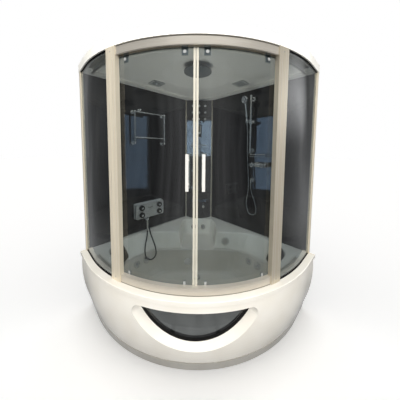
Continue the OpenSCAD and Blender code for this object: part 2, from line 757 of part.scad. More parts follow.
module drain_plug() at_axis() color("#d2d4d6") translate([0, drain_y, floor_z + 2.6]) {
    cylinder(d = waste_d - 18, h = 4);
    translate([0, 0, -32]) cylinder(d = plug_stem, h = 33);
}
module overflow_knob() at_axis() color("#d2d4d6") on_skin(overflow_a, overflow_z) difference() {
    union() {
        translate([0, 0, 3.6]) cylinder(d = overflow_d, h = 10);
        translate([0, 0, -16]) cylinder(d = 10, h = 20);
    }
    translate([0, 0, 10]) rotate_extrude() translate([overflow_d / 2 - 12, 0]) square([3, 4]);
    translate([overflow_d / 2 - 9, 0, 9]) cylinder(d = 5, h = 9, $fn = 24);
}

// A head rest that lies on the inner face of one end of the basin
rest_low = foot_z + 8;
rest_high = rim_h + 24;
rest_mid = front_n + tip_n;
rest_n = round(rest_l / 2 / (skin_r(tip_a, lip_z) * tip_fan / tip_n * PI / 180));
function rest_point(k, t) = let (
    a = right_a[rest_mid + k],
    u = k / rest_n,
    thick = rest_t * sqrt(max(0.03, 1 - pow(abs(u), 3))),
    tall = (rest_high - rest_low) * (1 - 0.16 * pow(u, 4)),
    zm = (rest_low + rest_high) / 2,
    c = cos(t),
    s = sin(t),
    z = zm + tall / 2 * sign(s) * pow(abs(s), 0.72),
    d = 1.1 + thick / 2 * (1 - sign(c) * pow(abs(c), 0.72)))
    on_ray(a, skin_r(a, min(max(z, foot_z), lip_z)) - d, z);
module head_rest(s) at_axis() color("#1b1c1e") mirror([s > 0 ? 0 : 1, 0, 0]) loft(
    [for (k = [-rest_n:rest_n]) [for (i = [0:23]) rest_point(k, i * 15)]],
    (rest_point(-rest_n, 0) + rest_point(-rest_n, 180)) / 2,
    (rest_point(rest_n, 0) + rest_point(rest_n, 180)) / 2);
module head_rest_left() head_rest(-1);
module head_rest_right() head_rest(1);

// Rails, posts and glass

rail_r = glass_r + rail_out;
post_r0 = glass_r - post_in;
post_r1 = glass_r + post_out;
door_r = glass_r - door_in;
door_r0 = door_r - pane_t;
rail_angle = post_angle - post_half;
track_r0 = door_r0 - 22;
track_r1 = post_r0 - 1.5;
box_r0 = post_r0;

module bottom_rail() at_axis() color("#dcd9cf") {
    bend(-rail_angle, rail_angle) difference() {
        ring_box(box_r0, rail_r, rim_h, rim_h + rail_h);
        ring_box(box_r0 + rail_t, rail_r - rail_t, rim_h + rail_t, rim_h + rail_h - rail_t);
    }
    bend(-rail_angle, rail_angle) ring_box(track_r1, box_r0, rim_h, rim_h + rail_t);
    bend(-46, 46) {
        ring_box(track_r0, track_r1, rim_h, rim_h + rail_t);
        ring_box(track_r0, track_r0 + rail_t, rim_h + rail_t, rim_h + 18);
    }
}

wheel_z = roof_z - 30;
ledge_t = 4;
ledge_z = wheel_z - roller_d / 2 - 0.06;
roller_r = track_r0 + rail_t + 4.5;
module top_rail() at_axis() color("#dcd9cf") {
    bend(-46, 46) {
        ring_box(track_r0, track_r1, roof_z - rail_t, roof_z);
        ring_box(track_r0, track_r0 + rail_t, ledge_z - ledge_t, roof_z - rail_t);
        ring_box(track_r0 + rail_t, roller_r + roller_w + 1, ledge_z - ledge_t, ledge_z);
    }
    bend(-rail_angle, rail_angle) {
        ring_box(track_r1, rail_r, roof_z - rail_t, roof_z);
        ring_box(rail_r - rail_t, rail_r, roof_z - rail_h, roof_z - rail_t);
        ring_box(rail_r - rail_t - 6, rail_r - rail_t, roof_z - rail_h, roof_z - rail_h + 3);
    }
}

module post(s) at_axis() color("#d3d0c6") mirror([s > 0 ? 0 : 1, 0, 0]) difference() {
    bend(post_angle - post_half, post_angle + post_half) ring_box(post_r0, post_r1, rim_h, roof_z);
    bend(post_angle - post_half + 0.16, post_angle + post_half - 0.9)
        ring_box(post_r0 + 3, post_r1 - 3, rim_h - 1, roof_z + 1);
    bend(post_angle + post_half - 0.7, post_angle + post_half + 1)
        ring_box(glass_r - pane_t - 0.2, glass_r + 0.2, rim_h - 1, roof_z + 1);
}
module post_left() post(-1);
module post_right() post(1);

module fixed_pane(s) at_axis() color("#9aa5a8", 0.35) mirror([s > 0 ? 0 : 1, 0, 0]) {
    bend(post_angle + post_half - 0.65, 45)
        ring_box(glass_r - pane_t, glass_r, rim_h + seal_h, roof_z - seal_h);
    right_side() translate([return_l, -profile_d + 14, 0]) rotate([90, 0, 0])
        linear_extrude(return_l - profile_d + 14 + lap)
            translate([glass_r - pane_t + lap_e, rim_h + seal_h + lap_e])
                square([pane_t - 2 * lap_e, cabin_h - 2 * (seal_h + lap_e)]);
}
module fixed_pane_left() fixed_pane(-1);
module fixed_pane_right() fixed_pane(1);

profile_u = return_l + glass_r - pane_t / 2 - profile_w / 2;
module wall_profiles() at_axis() color("#cfcfca") both() side(1) {
    translate([0, 0, rim_h]) linear_extrude(cabin_h) difference() {
        translate([profile_u, -profile_d - 2]) square([profile_w, profile_d]);
        translate([return_l + glass_r - pane_t - 0.2, -profile_d - 3]) square([pane_t + 0.4, 22]);
    }
    translate([column_u - trim_w / 2, -face_in - 7, rim_h]) cube([trim_w, trim_w - 3, cabin_h]);
}

door_z0 = rim_h + door_low_gap;
door_z1 = roof_z - door_top_gap;
arc_deg = 180 / PI / door_r;
strip_a0 = strip_gap * arc_deg;
strip_a1 = (strip_gap + strip_w) * arc_deg;
module door_at(s) at_axis() mirror([s > 0 ? 0 : 1, 0, 0]) children();
module door_pane(s) door_at(s) color("#8d999c", 0.3) difference() {
    bend(strip_a0 + 3.2 * arc_deg, door_angle) ring_box(door_r0, door_r, door_z0, door_z1);
    for (z = handle_bolts) on_front(handle_s * arc_deg, door_r - 20, z) cylinder(d = 14.4, h = 40);
    for (a = [hanger_near, hanger_far]) on_front(a, door_r - 20, hanger_bolt_z)
        cylinder(d = 12, h = 40);
}
module door_pane_left() door_pane(-1);
module door_pane_right() door_pane(1);

module door_strip(s) door_at(s) color("#e2e0da") difference() {
    bend(strip_a0, strip_a1) ring_box(door_r0 - 4, door_r + 4, door_z0, door_z1);
    bend(strip_a0 + 3 * arc_deg, strip_a1 + 1) ring_box(door_r0 - 0.2, door_r + 0.2, door_z0 - 1, door_z1 + 1);
}
module door_strip_left() door_strip(-1);
module door_strip_right() door_strip(1);

handle_bolts = [for (k = [-1, 1]) rim_h + handle_z + k * (handle_l / 2 - 38)];
module handle_bar(r) on_front(handle_s * arc_deg, r, rim_h + handle_z)
    plate(handle_w, handle_l, handle_t, 3);
module door_handle(s) door_at(s) color("#dfe1e3") {
    handle_bar(door_r + handle_gap);
    handle_bar(door_r0 - handle_gap - handle_t);
    for (z = handle_bolts) on_front(handle_s * arc_deg, 0, z) {
        translate([0, 0, door_r0 - handle_gap - 2]) cylinder(d = 12, h = pane_t + 2 * handle_gap + 4);
        translate([0, 0, door_r + 0.3]) cylinder(d = 20, h = 3);
        translate([0, 0, door_r0 - 3.4]) cylinder(d = 20, h = 3);
    }
}
module door_handle_left() door_handle(-1);
module door_handle_right() door_handle(1);

hanger_bolt_z = door_z1 - 26;
plate_r1 = door_r0 - 0.4;
plate_r0 = plate_r1 - 3;
hanger_deg = hanger_w / 2 * arc_deg;
module door_hangers(s) door_at(s) color("#c3c6c9") for (a = [hanger_near, hanger_far]) {
    bend(a - hanger_deg, a + hanger_deg) ring_box(plate_r0, plate_r1, hanger_bolt_z - 18, wheel_z + 11);
    on_front(a, plate_r0 - 1, wheel_z) mirror([0, 0, 1]) {
        cylinder(d = pin_d, h = plate_r0 - roller_r + 1.4);
        cylinder(d = pin_d + 4, h = plate_r0 - roller_r - roller_w - 1.06);
        translate([0, 0, plate_r0 - roller_r - 0.94]) cylinder(d = pin_d + 4, h = 2);
    }
    on_front(a, plate_r0, hanger_bolt_z) cylinder(d = 10, h = door_r - plate_r0 + 2);
    on_front(a, door_r + 0.2, hanger_bolt_z) cylinder(d = 20, h = 2.6);
    difference() {
        bend(a - 7 * arc_deg, a + 7 * arc_deg)
            ring_box(plate_r0, door_r + 3.2, door_z0 - 4, rim_h + rail_h + 20);
        bend(a - 1, a + 1) ring_box(plate_r1, door_r + 0.2, door_z0 - 0.2, rim_h + rail_h + 21);
    }
}
module door_hangers_left() door_hangers(-1);
module door_hangers_right() door_hangers(1);

module roller(s, a) door_at(s) color("#ececea") on_front(a, roller_r, wheel_z) difference() {
    union() {
        cylinder(d = roller_d, h = roller_w);
        cylinder(d = roller_d * 0.6, h = roller_w);
    }
    translate([0, 0, -1]) cylinder(d = pin_d + 2 * pin_play, h = roller_w + 2);
}
module roller_left_near() roller(-1, hanger_near);
module roller_left_far() roller(-1, hanger_far);
module roller_right_near() roller(1, hanger_near);
module roller_right_far() roller(1, hanger_far);

// Back walls and column

column_u = (column_w / 2 + rear - column_y) * q;
module wall_panel(s, u, z) at_axis() color("#23262a") difference() {
    side(s) translate([column_u + trim_w / 2, -face_in, rim_h])
        cube([profile_u - column_u - trim_w / 2, panel_t, cabin_h]);
    for (x = [-1, 1]) on_wall(s, u + x * inlet_pitch / 2, z) translate([0, 0, -panel_t - 1])
        cylinder(d = inlet_bore + 9.6, h = panel_t + 2);
}
module wall_panel_left() wall_panel(-1, control_u, control_at);
module wall_panel_right() wall_panel(1, mixer_u, mixer_at);
// the ends of the water pipes of a fitting, through the panel behind it
tail_back = panel_t + 7;
tail_depth = 18;
module tails() for (x = [-1, 1]) translate([x * inlet_pitch / 2, 0, -tail_back])
    cylinder(d = inlet_bore + 9, h = tail_back + 2);
module tail_bores() for (x = [-1, 1]) translate([x * inlet_pitch / 2, 0, -tail_back - 1])
    cylinder(d = inlet_bore, h = tail_back + 1 + tail_depth);

recess_z = rim_h + bulge_h;
module column_panel() at_axis() color("#2a2d31") difference() {
    translate([-column_w / 2 - 6, column_y, rim_h]) cube([column_w + 12, panel_t, cabin_h]);
    translate([-column_w / 2 + 6, column_y - 1, recess_z]) cube([column_w - 12, 5, recess_h]);
    both() side(1) translate([column_u - trim_w / 2, -face_in - 7, rim_h - 1])
        cube([trim_w, trim_w + 20, cabin_h + 2]);
    translate([spout_x, column_y - 1, spout_z]) rotate([-90, 0, 0]) cylinder(d = 24, h = 20);
}
module on_column(x, z) at_axis() translate([x, column_y, z]) rotate([90, 0, 0]) children();

module column_display() color("#3c4247") on_column(0, rim_h + display_z + display_h / 2) {
    plate(display_w, display_h, display_t, 8);
    translate([0, 12, display_t - 0.5]) plate(display_w - 14, display_h - 46, 1.5, 3);
    for (i = [-1:1]) translate([i * 20, -display_h / 2 + 18, display_t - 0.5]) cylinder(d = 11, h = 2);
}

bulge_chord = column_w / 2 - 14;
bulge_r = (bulge_chord * bulge_chord + bulge_d * bulge_d) / (2 * bulge_d);
module bulge(in, h) linear_extrude(h) intersection() {
    translate([0, column_y + bulge_r - bulge_d]) circle(r = bulge_r - in, $fn = 240);
    translate([-column_w, column_y - bulge_d - 1]) square([2 * column_w, bulge_d + 1]);
}
module column_base() at_axis() color("#1e2023") difference() {
    translate([0, 0, rim_h]) bulge(0, bulge_h);
    for (i = [0:3]) translate([0, 0, rim_h + 38 + i * 30]) difference() {
        bulge(-2, 5);
        bulge(5, 5);
    }
    translate([spout_x, column_y + 1, spout_z]) rotate([90, 0, 0]) cylinder(d = 32.4, h = bulge_d + 8);
}

spout_x = 64;
spout_z = rim_h + bulge_h - 36;
nozzle_rows = [1333, 1420, 1506];
module column_fittings() at_axis() {
    color("#d6d9dc") {
        for (x = [-1:1], z = nozzle_rows) translate([x * nozzle_pitch, column_y, rim_h + z]) rotate([90, 0, 0]) nozzle();
        for (x = [-1, 1], z = [409, 639]) translate([x * (nozzle_pitch + 4), column_y, rim_h + z])
            rotate([90, 0, 0]) nozzle();
        translate([spout_x, column_y + 12, spout_z]) rotate([90, 0, 0]) {
            cylinder(d = 23.6, h = 20);
            translate([0, 0, 12]) cylinder(d = 32, h = spout_l);
            translate([0, 0, 12 + spout_l - 16]) rotate([90, 0, 0]) cylinder(d = 24, h = 24);
        }
    }
    color("#cfd6d8") for (z = [846, 956]) translate([0, column_y, rim_h + z]) shelf(shelf_w, shelf_d);
}
module nozzle() {
    difference() {
        cylinder(d = nozzle_d, h = 6);
        translate([0, 0, 4]) cylinder(d = nozzle_d - 8, h = 4);
    }
    translate([0, 0, 4]) cylinder(d = 9, h = 4);
}
// a shelf whose back edge is at y = 0, with a rail in front
module shelf(w, d) {
    translate([-w / 2, -d, 0]) cube([w, d, shelf_t]);
    for (x = [-1, 1]) translate([x * (w / 2 - 14), -d + 9, shelf_t]) cylinder(d = 7, h = 24, $fn = 32);
    translate([-w / 2 + 8, -d + 9, shelf_t + 24]) rotate([0, 90, 0]) cylinder(d = 8, h = w - 16, $fn = 32);
}

// Roof

roof_r = glass_r + 12;
ceiling_r = roof_r - ceiling_flange_w;
ceiling_z = roof_z + ceiling_rise;
dome_y = rear - dome_back_d;
function dome_at(r) = ceiling_z + dome_h * (1 - pow(min(r, dome_r) / dome_r, 2));
dome_steps = [for (i = [0:10]) dome_r * i / 10];
module roof_shell() at_axis() color("#f4f2ee") {
    difference() {
        slab(roof_z, roof_edge_h, roof_r);
        slab(roof_z - 1, roof_edge_h - roof_t + 1, roof_r - roof_t, roof_t);
    }
}
module ceiling() at_axis() color("#ecebe8") {
    difference() {
        slab(roof_z, roof_t, roof_r - roof_t, roof_t);
        slab(roof_z - 1, roof_t + 2, ceiling_r, ceiling_flange_w);
    }
    difference() {
        slab(roof_z, ceiling_rise + roof_t, ceiling_r, ceiling_flange_w);
        slab(roof_z - 1, ceiling_rise + 1, ceiling_r - roof_t, ceiling_flange_w + roof_t);
        translate([0, dome_y, roof_z]) cylinder(r = dome_r, h = 80, $fn = 180);
    }
    translate([0, dome_y, 0]) rotate_extrude($fn = 180) polygon(concat(
        [for (r = dome_steps) [r, dome_at(r)]],
        [for (i = [10:-1:0]) [dome_steps[i], dome_at(dome_steps[i]) + roof_t]]));
}
module above_dome() translate([0, dome_y, 0]) rotate_extrude($fn = 180) polygon(concat(
    [for (r = dome_steps) [r, dome_at(r)]], [[dome_r, ceiling_z + 90], [0, ceiling_z + 90]]));

rain_y = rear - rain_back_d;
rain_z = roof_z - rain_drop;
ball_d = 22;
ball_z = rain_z + 24;
module square_fitting() rotate(45) plate(lamp_w, lamp_w, 8, 8);
module ceiling_fittings() at_axis() color("#d9dcdd") {
    lamp_y = rear - lamp_back_d;
    for (x = [-1, 1]) translate([x * lamp_x, lamp_y, ceiling_z]) mirror([0, 0, 1]) difference() {
        square_fitting();
        if (x > 0) rotate(45) for (i = [-4:4]) translate([i * 12 - 2.5, -46, 5]) cube([5, 92, 10]);
        else translate([0, 0, 5]) cylinder(d = lamp_w - 44, h = 10);
    }
    difference() {
        translate([0, rain_y, ball_z]) {
            cylinder(d = 12, h = 80);
            translate([0, 0, dome_at(abs(rain_y - dome_y)) - ball_z - 7]) cylinder(d = 50, h = 60);
        }
        above_dome();
    }
    translate([0, rain_y, ball_z]) sphere(d = ball_d);
}
module rain_head() at_axis() color("#8f959a") translate([0, rain_y, rain_z]) difference() {
    union() {
        translate([0, 0, 1]) cylinder(d = rain_d, h = 8);
        translate([0, 0, 9]) cylinder(d1 = rain_d - 30, d2 = 60, h = 4);
        cylinder(d = rain_d - 30, h = 1);
        translate([0, 0, 8]) cylinder(d = 34, h = 20);
    }
    translate([0, 0, ball_z - rain_z]) {
        sphere(d = ball_d + 0.2);
        cylinder(d = 19.5, h = 20);
    }
    for (n = [8, 16, 24]) for (i = [0:n - 1]) rotate(360 * i / n)
        translate([n * 3.8, 0, -1]) cylinder(d = 4, h = 2.6, $fn = 16);
}

// Fittings on the right side

bar_top_z = rim_h + bar_top;
bar_mounts = [bar_top_z - 30, bar_top_z - bar_l + 30];
module slide_bar() at_axis() color("#d5d8db") on_wall(1, bar_u, 0) {
    translate([0, bar_top_z, bar_out]) rotate([90, 0, 0]) cylinder(d = bar_d, h = bar_l);
    for (z = bar_mounts) translate([0, z, 0]) {
        cylinder(d = 46, h = 7);
        cylinder(d = 20, h = bar_out);
    }
    for (z = [bar_top_z, bar_top_z - bar_l + 12]) translate([0, z, bar_out]) rotate([90, 0, 0])
        cylinder(d = bar_d + 5, h = 12);
    outlet_at = rim_h + outlet_z;
    translate([outlet_u - bar_u, outlet_at, 0]) {
        cylinder(d = 52, h = 8);
        cylinder(d = 22, h = 38);
        translate([0, 0, 38]) sphere(d = 26);
        translate([0, 0, 38]) rotate([90, 0, 0]) cylinder(d = 20, h = 26);
    }
}
outlet_u = 877;

// the pin of the holder and the start of the hose lie at the same point
hold = [-30, 0, 24];
hold_z = rim_h + slider_z;
tilt = [-0.02, 0.985, 0.17];
cup_d = hand_d + 9;
module slider() at_axis() color("#c9cdd0") on_wall(1, bar_u, hold_z) {
    difference() {
        union() {
            translate([0, 24, bar_out]) rotate([90, 0, 0]) cylinder(d = bar_d + 18, h = 48);
            translate([0, 0, bar_out]) rotate([0, 90, 0]) cylinder(d = 16, h = 34);
            translate([32, 0, bar_out]) rotate([0, 90, 0]) cylinder(d = 34, h = 16);
            translate([-6, -9, bar_out + 10]) cube([14, 18, hold.z - 1]);
        }
        translate([0, 30, bar_out]) rotate([90, 0, 0]) cylinder(d = bar_d + 2 * slider_play, h = 60);
        translate([-7, 0, bar_out + hold.z]) rotate([0, 90, 0]) cylinder(d = 8.1, h = 13);
    }
}
module hand_shower() at_axis() color("#d9dcdf") on_wall(1, bar_u, hold_z)
    translate([hold.x, hold.y, bar_out + hold.z]) {
        translate([cup_d / 2 - 2, 0, 0]) rotate([0, 90, 0]) cylinder(d = 8, h = 5.6 - hold.x - cup_d / 2);
        along(tilt) {
            difference() {
                translate([0, 0, -7]) cylinder(d = cup_d, h = 28);
                translate([0, 0, -8]) cylinder(d = hose_d + 2.6, h = 8.7);
            }
            translate([0, 0, 20]) cylinder(d1 = cup_d - 2, d2 = hand_d, h = 16);
            translate([0, 0, 34]) cylinder(d1 = hand_d, d2 = hand_d - 3, h = hand_l - 34);
            translate([0, 0, hand_l]) sphere(d = hand_d + 4);
        }
        translate(tilt * (hand_l + 24)) along([-0.2, -0.28, 0.94]) {
            translate([0, 0, -8]) cylinder(d1 = hand_head_d - 24, d2 = hand_head_d, h = 14);
            translate([0, 0, 6]) cylinder(d = hand_head_d, h = 9);
            translate([0, 0, 15]) cylinder(d = hand_head_d - 10, h = 2);
        }
    }

knob_near_u = mixer_u - mixer_pitch / 2;
knob_far_u = mixer_u + mixer_pitch / 2;
mixer_at = rim_h + mixer_z;
mixer_out = 62;
module mixer_body() at_axis() color("#cfd2d5") on_wall(1, mixer_u, mixer_at) difference() {
    union() {
        translate([-mixer_l / 2, 0, mixer_out]) rotate([0, 90, 0]) cylinder(d = mixer_d, h = mixer_l);
        tails();
        for (x = [-1, 1]) translate([x * inlet_pitch / 2, 0, 0]) {
            cylinder(d = 62, h = 9);
            cylinder(d = 30, h = mixer_out - 8);
        }
        for (x = [-1, 1]) translate([x * mixer_pitch / 2, 0, mixer_out]) cylinder(d = 22, h = mixer_d / 2 + 4);
        translate([0, mixer_shelf_z, 0]) {
            translate([-mixer_l / 2, 0, 0]) cube([mixer_l, shelf_t, 105]);
            for (x = [-1, 1]) translate([x * (mixer_l / 2 - 12), 26, 97]) rotate([90, 0, 0])
                cylinder(d = 6, h = 24);
            translate([-mixer_l / 2 + 6, 26, 97]) rotate([0, 90, 0]) cylinder(d = 7, h = mixer_l - 12);
        }
    }
    tail_bores();
    for (x = [-1, 1]) translate([x * mixer_pitch / 2, 0, mixer_out + mixer_d / 2 - 8])
        cylinder(d = 8.1, h = 20);
}
module round_knob(d, h, ribs) difference() {
    union() {
        translate([0, 0, 0.2]) cylinder(d = d, h = h);
        translate([0, 0, h]) cylinder(d1 = d - 4, d2 = d - 16, h = 3);
        translate([0, 0, -7]) cylinder(d = 8, h = 10);
    }
    for (i = [0:ribs - 1]) rotate(360 * i / ribs) translate([d / 2 + 3.4, 0, 2])
        cylinder(d = 10, h = h + 8, $fn = 24);
}
module mixer_knob(u) at_axis() color("#e3e5e7") on_wall(1, u, mixer_at)
    translate([0, 0, mixer_out + mixer_d / 2 + 4]) {
        round_knob(mixer_knob_d, 26, 8);
        translate([-3, mixer_knob_d / 4 - 2, 26]) cube([6, 8, 5]);
    }
module mixer_knob_near() mixer_knob(knob_near_u);
module mixer_knob_far() mixer_knob(knob_far_u);

// Fittings on the left side

control_at = rim_h + control_z;
wand_u = 55;
wand_out = 74;
ring_low = 6;
socket_u = 18;
module control_panel() at_axis() color("#dfe0e0") on_wall(-1, control_u, control_at) difference() {
    union() {
        tails();
        plate(control_w, control_h, control_d, 16);
        plate(control_w + 8, control_h + 8, 8, 18);
        translate([0, 5, control_d - 0.5]) plate(88, 30, 1.5, 3);
        for (x = [-1, 1], y = [-1, 1]) translate([x * control_pitch / 2, y * control_rise / 2, control_d - 1])
            cylinder(d = control_knob_d + 8, h = 2);
        translate([socket_u, -control_h / 2, socket_out]) rotate([90, 0, 0]) cylinder(d = 24, h = socket_h);
        translate([wand_u, -control_h / 2 - ring_low, 0]) rotate([90, 0, 0]) {
            translate([0, 0, -ring_low - 1]) translate([-9, control_d - 30, 0]) cube([18, 24, 14]);
            translate([-9, control_d - 30, 0]) cube([18, wand_out - control_d + 16, 10]);
            translate([0, wand_out, 0]) cylinder(d = wand_d + 14, h = 10);
        }
    }
    for (x = [-1, 1], y = [-1, 1]) translate([x * control_pitch / 2, y * control_rise / 2, control_d - 14])
        cylinder(d = 8.1, h = 30);
    for (i = [-3:3]) translate([i * 11, 5, control_d]) plate(4, 20, 2, 1);
    translate([wand_u, -control_h / 2 - 30, wand_out]) rotate([-90, 0, 0]) cylinder(d = wand_d + 2, h = 40);
    tail_bores();
}
module control_knob(x, y) at_axis() color("#34373b")
    on_wall(-1, control_u + x * control_pitch / 2, control_at + y * control_rise / 2)
        translate([0, 0, control_d + 1]) {
            round_knob(control_knob_d, control_knob_h, 12);
            translate([0, 0, control_knob_h + 2.5]) cylinder(d = 22, h = 3);
            translate([-2.5, control_knob_d / 2 - 14, control_knob_h + 0.5]) cube([5, 9, 3]);
        }
module control_knob_1() control_knob(-1, 1);
module control_knob_2() control_knob(1, 1);
module control_knob_3() control_knob(-1, -1);
module control_knob_4() control_knob(1, -1);

wand_d = 22;
wand_l = 113.5;
socket_out = 30;
socket_h = 9.5;
module bath_handset() at_axis() color("#caced1")
    on_wall(-1, control_u + wand_u, control_at - control_h / 2 - ring_low) translate([0, 0, wand_out])
        rotate([90, 0, 0]) {
            translate([0, 0, -8]) cylinder(d = wand_d + 8, h = 8);
            translate([0, 0, -18]) cylinder(d1 = wand_d - 4, d2 = wand_d + 4, h = 10);
            translate([0, 0, -1]) cylinder(d = wand_d, h = 40);
            translate([0, 0, 38]) cylinder(d1 = wand_d, d2 = hose_d + 5, h = wand_l - 38);
        }

module towel_rack() at_axis() color("#d3d6d9") on_wall(-1, rack_u, 0) {
    top = rim_h + rack_top;
    for (x = [-1, 1]) {
        translate([x * rack_w / 2, top, rack_out]) rotate([90, 0, 0]) cylinder(d = rack_d, h = rack_h);
        for (z = [top - 12, top - rack_h + 12]) translate([x * rack_w / 2, z, 0]) {
            cylinder(d = 42, h = 7);
            cylinder(d = 15, h = rack_out);
            translate([0, 0, rack_out]) sphere(d = 26);
        }
    }
    for (z = [top - 12, top - rack_h + 70]) translate([-rack_w / 2, z, rack_out]) rotate([0, 90, 0])
        cylinder(d = rack_rail_d, h = rack_w);
    translate([rack_w / 2 - 68, top + 16, 0]) {
        cylinder(d = 26, h = 5);
        cylinder(d = 10, h = 38);
        translate([0, 0, 38]) cylinder(d = 20, h = 8);
    }
}

// Hoses: each route is a list of points along the wall, up from the floor and
// out from the panels
shower_run = [
    [840, 1779, 82], [840, 1765, 80], [842, 1720, 74], [844, 1640, 70], [845, 1560, 70],
    [847, 1480, 70], [851, 1400, 70], [856, 1320, 70], [862, 1240, 70], [868, 1160, 72],
    [871, 1100, 74]];
shower_loop = [
    [871, 1060, 74], [867, 1020, 74], [860, 980, 73], [853, 940, 71], [849, 900, 69],
    [852, 862, 66], [860, 825, 62], [866, 801, 60], [884, 783, 58], [908, 777, 56],
    [932, 783, 54], [950, 801, 53], [956, 825, 52], [954, 862, 50], [943, 900, 47],
    [927, 938, 44], [910, 976, 41], [893, 1014, 39], [882, 1054, 38], [877, 1096, 38],
    [877, 1111, 38], [877, 1125, 38]];
bath_run = [
    [848, 710, 30], [848, 696, 30], [850, 674, 36], [857, 640, 58], [864, 598, 84],
    [866, 554, 108], [861, 508, 132], [851, 458, 154], [843, 408, 172], [842, 362, 182],
    [850, 331, 187], [870, 311, 188], [899, 303, 186], [928, 311, 180], [948, 331, 173],
    [956, 362, 162], [952, 404, 144], [937, 446, 124], [917, 486, 106], [899, 524, 91],
    [888, 560, 79], [885, 586, 74], [885, 600, 74]];

// Points half way between those of a route, on a smooth curve through them
function halved(p) = concat([for (i = [0:len(p) - 2]) each let (
    a = p[max(i - 1, 0)], b = p[i], c = p[i + 1], d = p[min(i + 2, len(p) - 1)])
    i == 0 ? [b] : [b, (9 * (b + c) - a - d) / 16]], [p[len(p) - 1]]);
// Two directions square to a route at each of its points, carried along it
function heading(p, i) = unit(
    (i < len(p) - 1 ? unit(p[i + 1] - p[i]) : [0, 0, 0]) + (i > 0 ? unit(p[i] - p[i - 1]) : [0, 0, 0]));
function carried(p, i, v) = unit(v - (v * heading(p, i)) * heading(p, i));
function normals(p, i, v) = i >= len(p) ? [] :
    let (n = carried(p, i, v)) concat([n], normals(p, i + 1, n));
hose_sides = 10;
module hose(p) {
    n = normals(p, 0, [0, 0.2, 1]);
    m = hose_sides;
    rings = [for (i = [0:len(p) - 1]) each let (b = cross(heading(p, i), n[i]))
        [for (k = [0:m - 1]) p[i] + hose_d / 2 * (cos(360 * k / m) * n[i] + sin(360 * k / m) * b)]];
    polyhedron(points = rings, faces = concat(
        [for (i = [0:len(p) - 2], k = [0:m - 1]) each let (
            a = i * m + k, b = i * m + (k + 1) % m) [[a, b + m, b], [a, a + m, b + m]]],
        [[for (k = [0:m - 1]) k], [for (k = [m - 1:-1:0]) (len(p) - 1) * m + k]]), convexity = 6);
}
module shower_hose() at_axis() color("#c4c7ca")
    on_wall(1, 0, 0) hose(concat(halved(shower_run), shower_loop));
module bath_hose() at_axis() color("#6d7072") on_wall(-1, 0, 0) hose(bath_run);

tub_shell();
tub_basin();
tub_floor();
apron();
base_band();
window_frame();
window_glass();
black_seals();
tub_frame();
levelling_feet();
pump();
water_pipes();
tub_jets();
waste_fittings();
drain_plug();
overflow_knob();
head_rest_left();
head_rest_right();
bottom_rail();
top_rail();
post_left();
post_right();
fixed_pane_left();
fixed_pane_right();
wall_profiles();
door_pane_left();
door_pane_right();
door_strip_left();
door_strip_right();
door_handle_left();
door_handle_right();
door_hangers_left();
door_hangers_right();
roller_left_near();
roller_left_far();
roller_right_near();
roller_right_far();
wall_panel_left();
wall_panel_right();
column_panel();
column_display();
column_base();
column_fittings();
roof_shell();
ceiling();
ceiling_fittings();
rain_head();
slide_bar();
slider();
hand_shower();
shower_hose();
mixer_body();
mixer_knob_near();
mixer_knob_far();
control_panel();
control_knob_1();
control_knob_2();
control_knob_3();
control_knob_4();
bath_hose();
bath_handset();
towel_rack();
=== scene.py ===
"""Corner jetted bath with a glass shower cabin: its finishes, hoses, padded rests and fine parts."""

import math

import bmesh
import bpy
from bpy.props import FloatProperty, FloatVectorProperty, IntProperty, PointerProperty
from mathutils import Matrix, Vector


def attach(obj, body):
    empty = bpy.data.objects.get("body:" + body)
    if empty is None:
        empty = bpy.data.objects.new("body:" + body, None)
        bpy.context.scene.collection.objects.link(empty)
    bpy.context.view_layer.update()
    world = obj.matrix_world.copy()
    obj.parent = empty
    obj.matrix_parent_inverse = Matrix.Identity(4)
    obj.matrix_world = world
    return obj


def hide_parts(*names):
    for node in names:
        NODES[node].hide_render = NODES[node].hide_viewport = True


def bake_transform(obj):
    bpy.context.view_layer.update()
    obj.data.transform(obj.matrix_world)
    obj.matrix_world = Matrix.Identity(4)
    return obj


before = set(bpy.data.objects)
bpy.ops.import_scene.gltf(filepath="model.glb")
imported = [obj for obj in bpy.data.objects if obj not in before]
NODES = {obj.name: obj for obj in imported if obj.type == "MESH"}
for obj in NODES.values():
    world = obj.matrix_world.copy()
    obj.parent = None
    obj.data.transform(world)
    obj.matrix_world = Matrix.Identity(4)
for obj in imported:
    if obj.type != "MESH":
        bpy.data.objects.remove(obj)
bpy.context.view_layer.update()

bl_info = {
    "name": "Bath and shower cabin",
    "version": (1, 0, 0),
    "blender": (4, 5, 0),
    "location": "View3D > Sidebar > Bath",
    "description": "Finishes and fine parts of a corner jetted bath with a shower cabin",
    "category": "Object",
}

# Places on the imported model, in mm unless a comment says otherwise
MM = 0.001
HALF = math.sqrt(0.5)  # a wall's share along each axis: both walls stand at 45 degrees
CORNER_Y = 793.078  # the rear corner, behind the middle
AXIS_Y = 498.922  # the axis that the curved front and its doors turn about
PANEL = 18  # from a back side of the bath to the inner face of its wall panel
RIM_Z = 557  # top of the bath's rim
WINDOW_ARC_Z = 684  # height of the centre of the bath window's lower arc
WINDOW_CLEAR_R = 416  # from that centre to the painted shade band along the lower arc
SHADE_BAND_BLUR = 2  # width of the painted shade band's soft edge
PUMP_Y = 488.92  # the pump's axis, which runs along X
OVERFLOW = (310.8, 125.83, 460)  # on the overflow knob's axis, behind its face
OVERFLOW_WAY = (-0.032074, -0.998269, 0.0493)  # the way that the knob faces
RAIL_R = 1245  # just inside the rails' front face, from the axis
POST_R = 1252  # just inside the posts' front face, from the axis
POST_ANGLE = 26.6  # degrees from the front's middle to a post's middle
DOORWAY_ANGLE = 24.55  # degrees from the front's middle almost to a post's edge
LIPS = ((2083.6, 2090), (605, 611.4))  # heights of the lip along each rail's edge at the glass
